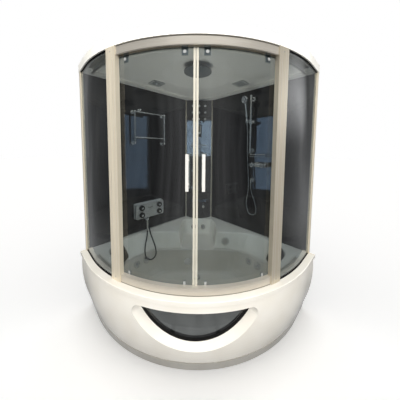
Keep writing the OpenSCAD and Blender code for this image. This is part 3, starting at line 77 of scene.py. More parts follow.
RAIL_SHADE_LINES = ((2131.5, 2136), (558.6, 562))  # heights of the painted shade line along each rail's other edge
RIBS = (-1.55, -0.75, 0.75, 1.55)  # degrees from a post's middle to its ribs
RIB_HALF = 0.08  # half of a rib's width, in degrees
RIB_ENDS = (562, 2133)  # heights of a rib's ends
COLUMN_Y = 592.6  # face of the corner column
PANEL_U, PANEL_Z = 830, 802  # middle of the control panel's knobs, along the wall and up
KNOB_U, KNOB_Z = 107, 39  # from there to the middle of each knob
HAND_SHOWER = (831.9, 2004.7, 137.8)  # face of the hand shower: along the wall, up and out
CEILING_Z = 2157  # back of the recess in the lamp and in the speaker
CEILING_X, CEILING_Y = 430, 59.08  # the lamp at the left, the speaker at the right
RAIN_Y, RAIN_Z = -280.922, 2124  # middle of the rain head's lower face
KEYPAD_Z = 1751  # middle of the frame on the keypad

CABIN = "bath_and_cabin"
# Nodes that the front light reaches
FRONT_LIT = (
    "tub_shell apron window_frame post_left wall_profiles window_glass door_handle_left door_handle_right "
    "door_hangers_left door_hangers_right door_strip_left door_strip_right"
)
WALLS = ["wall_panel_left", "wall_panel_right"]
COLUMN = ["column_panel", "column_base"]
OVERHEAD = ["ceiling", "ceiling_fittings", "rain_head"]

# The hoses' routes: along the wall from the corner, up, and out from the wall
SHOWER_RUN = [
    (840, 1779, 82), (840, 1765, 80), (842, 1720, 74), (844, 1640, 70), (845, 1560, 70), (847, 1480, 70),
    (851, 1400, 70), (856, 1320, 70), (862, 1240, 70), (868, 1160, 72), (871, 1100, 74), (871, 1060, 74),
    (867, 1020, 74), (860, 980, 73), (853, 940, 71), (849, 900, 69), (852, 862, 66), (860, 825, 62),
    (866, 801, 60), (884, 783, 58), (908, 777, 56), (932, 783, 54), (950, 801, 53), (956, 825, 52),
    (954, 862, 50), (943, 900, 47), (927, 938, 44), (910, 976, 41), (893, 1014, 39), (882, 1054, 38),
    (877, 1096, 38), (877, 1111, 38), (877, 1125, 38),
]
BATH_RUN = [
    (848, 710, 30), (848, 696, 30), (850, 674, 36), (857, 640, 58), (864, 598, 84), (866, 554, 108),
    (861, 508, 132), (851, 458, 154), (843, 408, 172), (842, 362, 182), (850, 331, 187), (870, 311, 188),
    (899, 303, 186), (928, 311, 180), (948, 331, 173), (956, 362, 162), (952, 404, 144), (937, 446, 124),
    (917, 486, 106), (899, 524, 91), (888, 560, 79), (885, 586, 74), (885, 600, 74),
]

# The camera and the studio, in metres and degrees
EYE = (0.036, -1.792, 1.481)
PITCH, YAW, ROLL = -3.96, -0.73, 0.42
SHIFT = (0.002, -0.095)  # how far the frame is shifted, as shares of its width
MIRROR_POINT = (0, 0, 1.2)  # the room that takes the floor's place in mirrors is seen from here
SHADOW_REACH = 0.22  # how far the painted soft shadow round the bath reaches
SHADOW_TONE = 0.6  # share of the paper's brightness under the bath's edge, where the shadow is painted
PATTERN_ENDS = (0.3, 0.7)  # the range that nearly all of a noise pattern falls in
ROOM_TINT = (0.97, 0.985, 1, 1)
SKY_TINT = (1, 0.996, 0.986, 1)
SOFTBOX_TINT = (1, 0.99, 0.97)
DAY_TINT = (0.55, 0.7, 0.95)
COLUMN_DAY_TINT = (0.66, 0.78, 0.95)


def at(x, y, z):
    """Matrix that moves to a point in mm."""
    return Matrix.Translation(Vector((x, y, z)) * MM)


def wall_point(side, along, up, out):
    """A point by its distance from the rear corner, height and distance from the wall panel, mm to metres."""
    d = out + PANEL
    return Vector((side * (along - d) * HALF, CORNER_Y - (along + d) * HALF, up)) * MM


def wall_place(side, along, up, out=0):
    """Matrix whose X runs along a wall, Y goes up and Z points into the cabin."""
    x, z = Vector((side * HALF, -HALF, 0)), Vector((-side * HALF, -HALF, 0))
    m = Matrix((x, (0, 0, 1), z)).transposed().to_4x4()
    m.translation = wall_point(side, along, up, out)
    return m


def front_place(angle, radius, up):
    """Matrix whose Z points out of the curved front, at an angle from its middle and a radius."""
    a = math.radians(angle)
    out = Vector((math.sin(a), -math.cos(a), 0))
    x = Vector((math.cos(a), math.sin(a), 0))
    m = Matrix((x, (0, 0, 1), out)).transposed().to_4x4()
    m.translation = (out * radius + Vector((0, AXIS_Y, up))) * MM
    return m


def column_place(x, up, out=0):
    """Matrix on the face of the corner column: X to the right, Y up, Z into the cabin."""
    turn = Matrix(((1, 0, 0), (0, 0, 1), (0, -1, 0))).transposed().to_4x4()
    return at(x, COLUMN_Y - out, up) @ turn


def facing(way):
    """Turn that points Z along a direction."""
    return Vector(way).to_track_quat("Z", "Y").to_matrix().to_4x4()


def ring(count, radius):
    """Places spread evenly round a circle of a radius in mm."""
    turns = [2 * math.pi * i / count for i in range(count)]
    return [at(radius * math.cos(a), radius * math.sin(a), 0) for a in turns]


# Meshes


def lathe(profile, steps=32):
    """A turned solid: (radius, height) pairs in mm, spun round Z."""
    bm = bmesh.new()
    verts = [bm.verts.new((r * MM, 0, h * MM)) for r, h in profile]
    edges = [bm.edges.new(pair) for pair in zip(verts, verts[1:])]
    bmesh.ops.spin(
        bm, geom=verts + edges, cent=(0, 0, 0), axis=(0, 0, 1), angle=2 * math.pi, steps=steps, use_merge=True
    )
    bmesh.ops.remove_doubles(bm, verts=bm.verts, dist=1e-6)
    bmesh.ops.recalc_face_normals(bm, faces=bm.faces)
    return bm


def plate(width, height, depth, corner, edge=0.0):
    """A plate with round corners and softened front edges, in mm, its back at Z = 0."""
    bm = bmesh.new()
    bmesh.ops.create_cube(bm, size=1)
    bmesh.ops.scale(bm, vec=(width * MM, height * MM, depth * MM), verts=bm.verts)
    bmesh.ops.translate(bm, vec=(0, 0, depth / 2 * MM), verts=bm.verts)
    upright = [e for e in bm.edges if abs((e.verts[0].co - e.verts[1].co).z) > depth * MM * 0.9]
    bmesh.ops.bevel(
        bm, geom=upright, offset=corner * MM, segments=5, profile=0.5, affect="EDGES", material=-1
    )
    if edge:
        top = max(v.co.z for v in bm.verts)
        rim = []
        for e in bm.edges:
            on_top = all(v.co.z > top - 1e-7 for v in e.verts)
            if on_top and any(abs(f.normal.z) < 0.5 for f in e.link_faces):
                rim.append(e)
        bmesh.ops.bevel(
            bm, geom=rim, offset=edge * MM, segments=2, profile=0.5, affect="EDGES", material=-1
        )
    bmesh.ops.recalc_face_normals(bm, faces=bm.faces)
    return bm


def arc_strip(inner, outer, low, high, start, end, steps, flare=0.0):
    """A bar bent about the front's axis, between two radii, heights and angles; flare widens its top."""
    bm = bmesh.new()
    a = math.radians(start)
    verts = []
    for r, h in ((inner, low), (outer, low), (outer + flare, high), (inner, high)):
        verts.append(bm.verts.new(Vector((r * math.sin(a), AXIS_Y - r * math.cos(a), h)) * MM))
    edges = [bm.edges.new((verts[i - 1], verts[i])) for i in range(len(verts))]
    bm.faces.new(verts)
    swept = bmesh.ops.spin(
        bm,
        geom=verts + edges,
        cent=Vector((0, AXIS_Y, 0)) * MM,
        axis=(0, 0, 1),
        angle=math.radians(end - start),
        steps=steps,
    )
    bm.faces.new([g for g in swept["geom_last"] if isinstance(g, bmesh.types.BMVert)])
    bmesh.ops.recalc_face_normals(bm, faces=bm.faces)
    return bm


def new_object(name, bm):
    """Makes a bmesh an object at the origin."""
    mesh = bpy.data.meshes.new(name)
    bm.to_mesh(mesh)
    bm.free()
    thing = bpy.data.objects.new(name, mesh)
    bpy.context.scene.collection.objects.link(thing)
    return thing


def finish_piece(name, bm, material, body, sharp=40):
    """A piece with smooth faces and crisp edges; it rides on a body, if one is given."""
    piece = new_object(name, bm)
    mesh = piece.data
    mesh.polygons.foreach_set("use_smooth", [True] * len(mesh.polygons))
    mesh.set_sharp_from_angle(angle=math.radians(sharp))
    mesh.materials.append(material)
    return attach(piece, body) if body else piece


def placed(name, parts, material, body):
    """One piece out of (bmesh, matrix) pairs."""
    whole = bmesh.new()
    for part, matrix in parts:
        mesh = bpy.data.meshes.new("part")
        part.to_mesh(mesh)
        mesh.transform(matrix)
        if matrix.determinant() < 0:
            mesh.flip_normals()
        whole.from_mesh(mesh)
        bpy.data.meshes.remove(mesh)
    for part in {id(p): p for p, _ in parts}.values():
        part.free()
    return finish_piece(name, whole, material, body)


def smooth_path(points, spacing):
    """Points at an even spacing (m) on a smooth curve through the given ones, and its length."""
    fine = []
    for i in range(len(points) - 1):
        a, b = points[max(i - 1, 0)], points[i]
        c, d = points[i + 1], points[min(i + 2, len(points) - 1)]
        for k in range(12):
            t = k / 12
            square = (2 * a - 5 * b + 4 * c - d) * t * t
            cube = (3 * b - 3 * c + d - a) * t ** 3
            fine.append(0.5 * (2 * b + (c - a) * t + square + cube))
    fine.append(points[-1])
    run = [0.0]
    for p, r in zip(fine, fine[1:]):
        run.append(run[-1] + (r - p).length)
    count = max(2, round(run[-1] / spacing))
    out, j = [], 0
    for i in range(count + 1):
        s = run[-1] * i / count
        while j < len(run) - 2 and run[j + 1] < s:
            j += 1
        f = (s - run[j]) / max(run[j + 1] - run[j], 1e-12)
        out.append(fine[j].lerp(fine[j + 1], f))
    return out, run[-1]


def wound_tube(path, radii, sides):
    """A tube along a path whose ring radii repeat, as on a hose wound from metal strip."""
    bm = bmesh.new()
    last = list(bmesh.ops.create_circle(bm, segments=sides, radius=1)["verts"])
    first = list(last)
    circle = [v.co.copy() for v in last]
    edges = list(bm.edges)
    heads = []
    for i in range(len(path)):
        heads.append((path[min(i + 1, len(path) - 1)] - path[max(i - 1, 0)]).normalized())
    up = heads[0].orthogonal().normalized()
    for i, (p, h) in enumerate(zip(path, heads)):
        up = (up - h * up.dot(h)).normalized()
        side = h.cross(up)
        if i:
            made = bmesh.ops.extrude_edge_only(bm, edges=edges)["geom"]
            new = {g for g in made if isinstance(g, bmesh.types.BMVert)}
            edges = [g for g in made if isinstance(g, bmesh.types.BMEdge) and new.issuperset(g.verts)]
            above = {e.other_vert(v): v for v in new for e in v.link_edges}
            last = [above[v] for v in last]
        r = radii[i % len(radii)]
        for v, c in zip(last, circle):
            v.co = p + (up * c.x + side * c.y) * r
    bm.faces.new(first)
    bm.faces.new(last)
    bmesh.ops.recalc_face_normals(bm, faces=bm.faces)
    return bm


# Finishes


def colour(code, share=1.0):
    """An sRGB hex colour with a share of its light, as linear numbers, opaque."""
    parts = [int(code[i : i + 2], 16) / 255 for i in (1, 3, 5)]
    linear = [c / 12.92 if c <= 0.04045 else ((c + 0.055) / 1.055) ** 2.4 for c in parts]
    return tuple(c * share for c in linear) + (1.0,)


def colours(*codes):
    """Several sRGB hex colours as linear numbers."""
    return [colour(code) for code in codes]


def add_node(tree, kind, settings=None, inputs=None):
    """Adds a node with its settings; an input is a value or another node's output."""
    node = tree.nodes.new(kind)
    for key, value in (settings or {}).items():
        setattr(node, key, value)
    for key, value in (inputs or {}).items():
        if isinstance(value, bpy.types.NodeSocket):
            tree.links.new(value, node.inputs[key])
        else:
            node.inputs[key].default_value = value
    return node


def reckon(tree, operation, *values):
    """Result of a Math node."""
    node = add_node(tree, "ShaderNodeMath", {"operation": operation}, dict(enumerate(values)))
    return node.outputs["Value"]


def reckon_vector(tree, operation, *values):
    """Result of a Vector Math node."""
    node = add_node(tree, "ShaderNodeVectorMath", {"operation": operation}, dict(enumerate(values)))
    return node.outputs["Value" if operation == "DISTANCE" else "Vector"]


def spread(tree, value, source, target, interpolation="LINEAR"):
    """A value carried over from one range to another."""
    ends = {"From Min": source[0], "From Max": source[1], "To Min": target[0], "To Max": target[1]}
    inputs = {"Value": value, **ends}
    node = add_node(tree, "ShaderNodeMapRange", {"interpolation_type": interpolation}, inputs)
    return node.outputs["Result"]


def mixed(tree, share, first, second):
    """Two shaders mixed by a share."""
    node = add_node(tree, "ShaderNodeMixShader", inputs={"Fac": share, 1: first, 2: second})
    return node.outputs["Shader"]


def plain_finish(name, base, roughness, **sockets):
    """A new material with one Principled shader; sockets holds its other values."""
    material = bpy.data.materials.new(name)
    material.use_nodes = True
    shader = material.node_tree.nodes["Principled BSDF"]
    shader.inputs["Base Color"].default_value = base
    shader.inputs["Roughness"].default_value = roughness
    for key, value in sockets.items():
        shader.inputs[key.replace("_", " ")].default_value = value
    return material, material.node_tree, shader


def grained_finish(
    name, base, roughness, grain, rough, tones=None, stretch=(1, 1, 1), depth=0.0, detail=3.0, **sockets
):
    """A finish round a mean colour and roughness, with a grain of a real size in mm.

    The grain lies on Object coordinates, drawn out by stretch. It sways the roughness between the two
    values of rough, the colour between two tones, and the height by depth in mm.
    """
    if name in bpy.data.materials:
        return bpy.data.materials[name]
    material, tree, shader = plain_finish(name, base, roughness, **sockets)
    where = add_node(tree, "ShaderNodeTexCoord")
    scale = [1 / (grain * MM * s) for s in stretch]
    placing = {"Vector": where.outputs["Object"], "Scale": scale}
    mapping = add_node(tree, "ShaderNodeMapping", inputs=placing)
    cloud = {"Vector": mapping.outputs["Vector"], "Scale": 1.0, "Detail": detail, "Roughness": 0.55}
    pattern = add_node(tree, "ShaderNodeTexNoise", inputs=cloud).outputs["Fac"]
    tree.links.new(spread(tree, pattern, PATTERN_ENDS, rough), shader.inputs["Roughness"])
    if tones:
        ramp = add_node(tree, "ShaderNodeValToRGB", inputs={"Fac": pattern})
        for element, position, tone in zip(ramp.color_ramp.elements, PATTERN_ENDS, tones):
            element.position = position
            element.color = tone
        tree.links.new(ramp.outputs["Color"], shader.inputs["Base Color"])
    if depth:
        relief = {"Height": pattern, "Distance": depth * MM, "Strength": 1.0}
        bump = add_node(tree, "ShaderNodeBump", inputs=relief)
        tree.links.new(bump.outputs["Normal"], shader.inputs["Normal"])
    return material


def cast_acrylic():
    # vacuum-formed cast acrylic: a deep even gloss over a warm white, with a long soft ripple
    return grained_finish(
        "cast_acrylic_warm_white", colour("#f3efe5"), 0.12, grain=160, rough=(0.09, 0.17),
        tones=colours("#f1ece1", "#f5f1e8"), detail=1.0, IOR=1.49, Coat_Weight=0.3, Coat_Roughness=0.06,
    )


def satin_acrylic():
    # vacuum-formed acrylic sheet of the roof: satin, and a little greyer than the bath
    return grained_finish(
        "satin_acrylic_roof", colour("#f4f2ec"), 0.32, grain=180, rough=(0.28, 0.38),
        tones=colours("#f2f0e9", "#f5f3ee"), detail=1.0, IOR=1.49,
    )


def anodised_along():
    # drawn aluminium, anodised a pale champagne: die lines, drawn at 1.6 mm so that they show, run along the
    # rails; the rails lie in shade, so their tone is painted light, a little lighter than the posts'
    return grained_finish(
        "anodised_aluminium_along", colour("#f2eadd"), 0.36, grain=1.6, rough=(0.28, 0.42),
        tones=colours("#ece3d3", "#f6f0e5"), stretch=(60, 60, 1), depth=0.02, Metallic=0.3,
    )


def anodised_upright():
    # the same aluminium on the posts and wall profiles: the die lines run upright
    return grained_finish(
        "anodised_aluminium_upright", colour("#e9dec8"), 0.36, grain=1.6, rough=(0.28, 0.42),
        tones=colours("#e3d8c0", "#eee4d0"), stretch=(1, 1, 90), depth=0.02, Metallic=0.3,
    )


def grey_pane():
    # toughened float glass, body tinted grey: clear sight, and on its outer face a mirror sheen that grows
    # at a slant
    material = bpy.data.materials.new("toughened_glass_grey")
    material.use_nodes = True
    tree = material.node_tree
    tree.nodes.remove(tree.nodes["Principled BSDF"])
    clear = add_node(tree, "ShaderNodeBsdfTransparent", inputs={"Color": colour("#d4d9db")})
    sheen = add_node(tree, "ShaderNodeBsdfGlossy", inputs={"Color": (1, 1, 1, 1), "Roughness": 0.02})
    slant = add_node(tree, "ShaderNodeFresnel", inputs={"IOR": 1.52})
    face = add_node(tree, "ShaderNodeNewGeometry")
    outer = reckon(tree, "SUBTRACT", 1.0, face.outputs["Backfacing"])
    share = reckon(tree, "MULTIPLY", slant.outputs["Fac"], outer)
    pane = mixed(tree, share, clear.outputs["BSDF"], sheen.outputs["BSDF"])
    tree.links.new(pane, tree.nodes["Material Output"].inputs["Surface"])
    return material


def window_pane():
    # smoked acrylic sheet: half clear, half a cloudy grey body
    material = grained_finish(
        "bath_window_smoked", colour("#6a6d6d"), 0.08, grain=90, rough=(0.06, 0.12),
        tones=colours("#606363", "#6a6d6d"), detail=1.0, IOR=1.49, Alpha=0.72,
    )
    # painted shade: a black band inside the seal, along the lower arc, stands in for the shadow gap between
    # the window and the apron
    tree = material.node_tree
    base = tree.nodes["Principled BSDF"].inputs["Base Color"]
    where = add_node(tree, "ShaderNodeTexCoord")
    flat = reckon_vector(tree, "MULTIPLY", where.outputs["Object"], (1, 0, 1))
    away = reckon_vector(tree, "DISTANCE", flat, (0, 0, WINDOW_ARC_Z * MM))
    edge = (WINDOW_CLEAR_R * MM, (WINDOW_CLEAR_R + SHADE_BAND_BLUR) * MM)
    # the Mix node's colours are its inputs 6 and 7 and its output 2
    tones = {0: spread(tree, away, edge, (0, 1)), 6: base.links[0].from_socket, 7: colour("#040405")}
    mix = add_node(tree, "ShaderNodeMix", {"data_type": "RGBA"}, tones)
    tree.links.new(mix.outputs[2], base)
    return material


def gloss_black():
    # back-painted black sheet: a mirror gloss with a faint long waviness
    return grained_finish(
        "gloss_black_panel", colour("#101214"), 0.05, grain=240, rough=(0.03, 0.07),
        tones=colours("#0c0e10", "#131518"), detail=1.0, IOR=1.52,
    )


def chrome():
    # chromium plated on moulded plastic: bright, with faint water marks in the gloss
    return grained_finish(
        "chrome_plate", colour("#f0f2f3"), 0.12, grain=14, rough=(0.08, 0.18),
        tones=colours("#e8eaeb", "#f6f7f8"), Metallic=0.82,
    )


def silver_lacquer():
    # sprayed silver lacquer: a softer gloss than the taps
    return grained_finish(
        "satin_silver_lacquer", colour("#eceeed"), 0.3, grain=9, rough=(0.24, 0.36),
        tones=colours("#e4e6e5", "#f2f3f2"), depth=0.02, Metallic=0.25,
    )


def polished_handle():
    # cast and polished handle: light, almost white in daylight
    return grained_finish(
        "polished_handle", colour("#f2efe8"), 0.2, grain=12, rough=(0.16, 0.26),
        tones=colours("#ece8e0", "#f6f4ee"), Metallic=0.35, Coat_Weight=0.5,
    )


def brushed_steel():
    # stamped and brushed stainless plates: short brush marks, drawn at 1.2 mm so that they show
    return grained_finish(
        "brushed_stainless", colour("#b4b6b6"), 0.4, grain=1.2, rough=(0.28, 0.46),
        tones=colours("#acaead", "#bbbdbc"), stretch=(24, 24, 1), depth=0.02, Metallic=0.15,
    )


def black_rubber():
    # extruded rubber: matt, with a bloom drawn at 3 mm so that it shows
    return grained_finish(
        "extruded_rubber_black", colour("#070708"), 0.6, grain=3, rough=(0.5, 0.72),
        tones=colours("#040405", "#0c0c0d"), depth=0.05, Specular_IOR_Level=0.2,
    )


def soft_strip():
    # extruded soft plastic with a magnet inside, cream, with draw lines along the doors' edges
    return grained_finish(
        "soft_plastic_strip", colour("#cbc6b7"), 0.3, grain=2, rough=(0.24, 0.38),
        tones=colours("#c3beae", "#d3cfc1"), stretch=(1, 1, 40), depth=0.02, IOR=1.5,
    )


def moulded(name, code, roughness=0.45, grain=1.5):
    # injection-moulded plastic: a light spark-eroded grain, drawn coarse enough to show
    return grained_finish(
        name, colour(code), roughness, grain=grain, rough=(roughness - 0.07, roughness + 0.08),
        tones=(colour(code, 0.86), colour(code)), depth=0.04, IOR=1.5,
    )


def coated_steel():
    # zinc coating on welded tube, mottled as galvanised steel is
    return grained_finish(
        "zinc_coated_steel", colour("#9a9ea0"), 0.45, grain=18, rough=(0.36, 0.58),
        tones=colours("#888c8e", "#a9adaf"), depth=0.06, Metallic=0.7,
    )


def foam_skin():
    # moulded polyurethane skin over foam: black, a soft sheen, a pebble grain drawn at 2.2 mm so it shows
    return grained_finish(
        "foam_skin_black", colour("#141415"), 0.5, grain=2.2, rough=(0.42, 0.6),
        tones=colours("#0f0f10", "#1b1b1d"), depth=0.35, Sheen_Weight=0.15,
    )


def nozzle_silicone():
    # moulded silicone: soft dark grey nozzle tips
    return moulded("nozzle_silicone_grey", "#4a4d50", roughness=0.5, grain=1)


def wound_metal(name, code):
    # hose wound from metal strip: bright ridges, dull in between
    return grained_finish(
        name, colour(code), 0.24, grain=4, rough=(0.18, 0.34), tones=(colour(code, 0.8), colour(code)),
        Metallic=0.9,
    )


def lamp_lens():
    # frosted moulded lens of the ceiling light: milky, with a fine etch drawn at 1.4 mm
    return grained_finish(
        "frosted_lens", colour("#e9e9e4"), 0.35, grain=1.4, rough=(0.3, 0.45),
        tones=colours("#dedfda", "#f0f0ec"), depth=0.06, IOR=1.5,
    )


def keypad_face():
    # moulded keypad with a dark smoked face
    return grained_finish(
        "smoked_keypad", colour("#2c3135"), 0.16, grain=40, rough=(0.12, 0.22),
        tones=colours("#262b2f", "#343a3f"), IOR=1.5,
    )


def screen_glass():
    # liquid-crystal window at rest: olive brown under clear glass
    return grained_finish(
        "crystal_window_olive", colour("#4c4839"), 0.1, grain=6, rough=(0.08, 0.14),
        tones=colours("#464233", "#544f40"), IOR=1.5, Coat_Weight=0.6,
    )


def diode_white():
    # the small lit diode in the middle of the ceiling light
    return grained_finish(
        "diode_white", colour("#ffffff"), 0.2, grain=2, rough=(0.16, 0.26),
        IOR=1.5, Emission_Color=(1, 1, 1, 1), Emission_Strength=2.0,
    )


def dress(names, material):
    """Gives CAD nodes a finish through their material slots."""
    for name in names.split():
        piece = NODES[name]
        if not piece.material_slots:
            piece.data.materials.append(material)
        for slot in piece.material_slots:
            slot.link = "OBJECT"
            slot.material = material


# Settings


class StageSettings(bpy.types.PropertyGroup):
    lens: FloatProperty(
        name="Lens", description="Focal length of the camera, on a 36 mm sensor",
        default=15.8, min=8, max=120, subtype="DISTANCE_CAMERA",
    )
    key_light: FloatProperty(
        name="Key light", description="Power of the large soft light above the front",
        default=70, min=0, max=2000, unit="POWER",
    )
    front_light: FloatProperty(
        name="Front light", description="Power of the soft light behind the camera",
        default=190, min=0, max=2000, unit="POWER",
    )
    roof_light: FloatProperty(
        name="Roof light", description="Power of the strip light on the roof's edge",
        default=150, min=0, max=2000, unit="POWER",
    )
    cabin_fill: FloatProperty(
        name="Cabin fill", description="Power of the soft light under the ceiling",
        default=6.6, min=0, max=200, unit="POWER",
    )
    ceiling_fill: FloatProperty(
        name="Ceiling fill", description="Power of the light that the bath throws up at the ceiling",
        default=9.5, min=0, max=200, unit="POWER",
    )
    daylight: FloatProperty(
        name="Daylight", description="Power of each window's reflection in the black walls",
        default=56, min=0, max=2000, unit="POWER",
    )
    sky: FloatProperty(
        name="Sky", description="Strength of the even light from all round", default=0.55, min=0, max=5
    )
    room: FloatProperty(
        name="Room", description="Strength of the room that glossy faces mirror at the sides",
        default=0.28, min=0, max=2,
    )
    room_behind: FloatProperty(
        name="Room behind", description="Strength of the room that they mirror behind the camera",
        default=0.8, min=0, max=4,
    )
    room_right: FloatProperty(
        name="Room right", description="Strength of the window that they mirror at the right",
        default=2.2, min=0, max=8,
    )
    paper: FloatProperty(
        name="Paper", description="Brightness of the paper floor under the lights",
        default=1.45, min=0, max=4,
    )
    paper_light: FloatProperty(
        name="Paper light", description="How far the floor is lit up to white", default=0.2, min=0, max=2
    )
    floor_colour: FloatVectorProperty(
        name="Floor", description="Colour that the floor throws back at the bath",
        default=colour("#d2d2d4")[:3], min=0, max=1, size=3, subtype="COLOR",
    )


class HoseSettings(bpy.types.PropertyGroup):
    diameter: FloatProperty(
        name="Diameter", description="Outer diameter of both hoses",
        default=0.013, min=0.008, max=0.02, unit="LENGTH",
    )
    pitch: FloatProperty(
        name="Pitch", description="Length of one turn of the wound strip",
        default=0.0042, min=0.002, max=0.01, unit="LENGTH",
    )


class FittingSettings(bpy.types.PropertyGroup):
    nub: FloatProperty(
        name="Nozzle tip", description="Diameter of one soft nozzle tip of the rain head",
        default=0.0034, min=0.001, max=0.004, unit="LENGTH",
    )
    screw: FloatProperty(
        name="Screw head", description="Diameter of the visible screw heads",
        default=0.0078, min=0.004, max=0.012, unit="LENGTH",
    )
    sides: IntProperty(
        name="Round steps", description="Steps of a turned knob cap", default=32, min=8, max=96
    )


# Stage


def mirrored_room(tree, way, set_up):
    """Strength of the room that glossy faces mirror: bright in front, dim aside, a window at the right."""
    split = add_node(tree, "ShaderNodeSeparateXYZ", inputs={"Vector": way})
    front = spread(tree, split.outputs["Y"], (-0.7, -0.98), (set_up.room, set_up.room_behind), "SMOOTHSTEP")
    right = spread(tree, split.outputs["X"], (0.86, 1.0), (0.0, set_up.room_right), "SMOOTHSTEP")
    high = spread(tree, split.outputs["Z"], (0.0, 0.3), (0.1, 1.0), "SMOOTHSTEP")
    light = reckon(tree, "MULTIPLY_ADD", right, high, front)
    # the streaks run upright, ten times finer across than along
    squash = reckon_vector(tree, "MULTIPLY", way, (9.0, 0.0, 0.9))
    streaks = add_node(tree, "ShaderNodeTexNoise", inputs={"Vector": squash, "Scale": 1.0, "Detail": 2.0})
    sway = spread(tree, streaks.outputs["Fac"], PATTERN_ENDS, (0.55, 1.45))
    return reckon(tree, "MULTIPLY", light, sway)


def paper_floor(set_up):
    """The pale studio floor, which isn't part of the object."""
    bm = bmesh.new()
    bmesh.ops.create_grid(bm, x_segments=1, y_segments=1, size=30)
    floor = new_object("studio_floor", bm)
    material, tree, shader = plain_finish("studio_paper", tuple(set_up.floor_colour) + (1,), 0.9)
    # the paper is lit so evenly that the lens sees it white, apart from a painted soft shadow round the bath:
    # ambient occlusion darkens its colour there
    near = add_node(tree, "ShaderNodeAmbientOcclusion", {"samples": 8}, {"Distance": SHADOW_REACH})
    tone = spread(tree, near.outputs["AO"], (0, 1), (set_up.paper * SHADOW_TONE, set_up.paper))
    white = add_node(tree, "ShaderNodeBsdfDiffuse", inputs={"Color": tone})
    lit = add_node(tree, "ShaderNodeEmission", inputs={"Strength": set_up.paper_light})
    both = {0: white.outputs["BSDF"], 1: lit.outputs["Emission"]}
    paper = add_node(tree, "ShaderNodeAddShader", inputs=both)
    path = add_node(tree, "ShaderNodeLightPath")
    seen = mixed(tree, path.outputs["Is Camera Ray"], shader.outputs["BSDF"], paper.outputs["Shader"])
    # glossy faces mirror it as they mirror the room's walls, so no horizon shows in them
    spot = add_node(tree, "ShaderNodeNewGeometry")
    away = reckon_vector(tree, "SUBTRACT", spot.outputs["Position"], MIRROR_POINT)
    room = mirrored_room(tree, reckon_vector(tree, "NORMALIZE", away), set_up)
    dim = add_node(tree, "ShaderNodeEmission", inputs={"Color": ROOM_TINT, "Strength": room})
    last = mixed(tree, path.outputs["Is Glossy Ray"], seen, dim.outputs["Emission"])
    tree.links.new(last, tree.nodes["Material Output"].inputs["Surface"])
    floor.data.materials.append(material)
    return floor


def studio_world(set_up):
    """The light from all round: soft for matt faces, a room for glossy ones, white for the lens."""
    world = bpy.data.worlds.new("studio")
    world.use_nodes = True
    bpy.context.scene.world = world
    tree = world.node_tree
    path = add_node(tree, "ShaderNodeLightPath")
    where = add_node(tree, "ShaderNodeTexCoord")
    split = add_node(tree, "ShaderNodeSeparateXYZ", inputs={"Vector": where.outputs["Generated"]})
    # the sky weakens towards the horizon
    dome = spread(tree, split.outputs["Z"], (0.0, 0.8), (set_up.sky * 0.5, set_up.sky * 1.15))
    room = mirrored_room(tree, where.outputs["Generated"], set_up)
    views = []
    for tint, strength in ((SKY_TINT, dome), (ROOM_TINT, room), ((1, 1, 1, 1), 1.0)):
        view = add_node(tree, "ShaderNodeBackground", inputs={"Color": tint, "Strength": strength})
        views.append(view.outputs["Background"])
    soft, glint, seen = views
    unseen = mixed(tree, path.outputs["Is Glossy Ray"], soft, glint)
    last = mixed(tree, path.outputs["Is Camera Ray"], unseen, seen)
    tree.links.new(last, tree.nodes["World Output"].inputs["Surface"])


def soft_light(name, place, target, size, power, tint, only=(), never=None):
    """A light aimed at a target and hidden from the lens; it can light some nodes only, or skip one."""
    lamp = bpy.data.lights.new(name, "AREA")
    lamp.shape = "RECTANGLE"
    lamp.size, lamp.size_y = size
    lamp.energy = power
    lamp.color = tint
    thing = bpy.data.objects.new(name, lamp)
    bpy.context.scene.collection.objects.link(thing)
    turn = (Vector(target) - Vector(place)).to_track_quat("-Z", "Y").to_matrix().to_4x4()
    thing.matrix_world = Matrix.Translation(place) @ turn
    thing.visible_camera = False
    if only or never:
        listed = bpy.data.collections.new(name + "_list")
        for node in only:
            listed.objects.link(NODES[node])
        if never:
            listed.objects.link(never)
            listed.collection_objects[0].light_linking.link_state = "EXCLUDE"
        thing.light_linking.receiver_collection = listed
    return thing


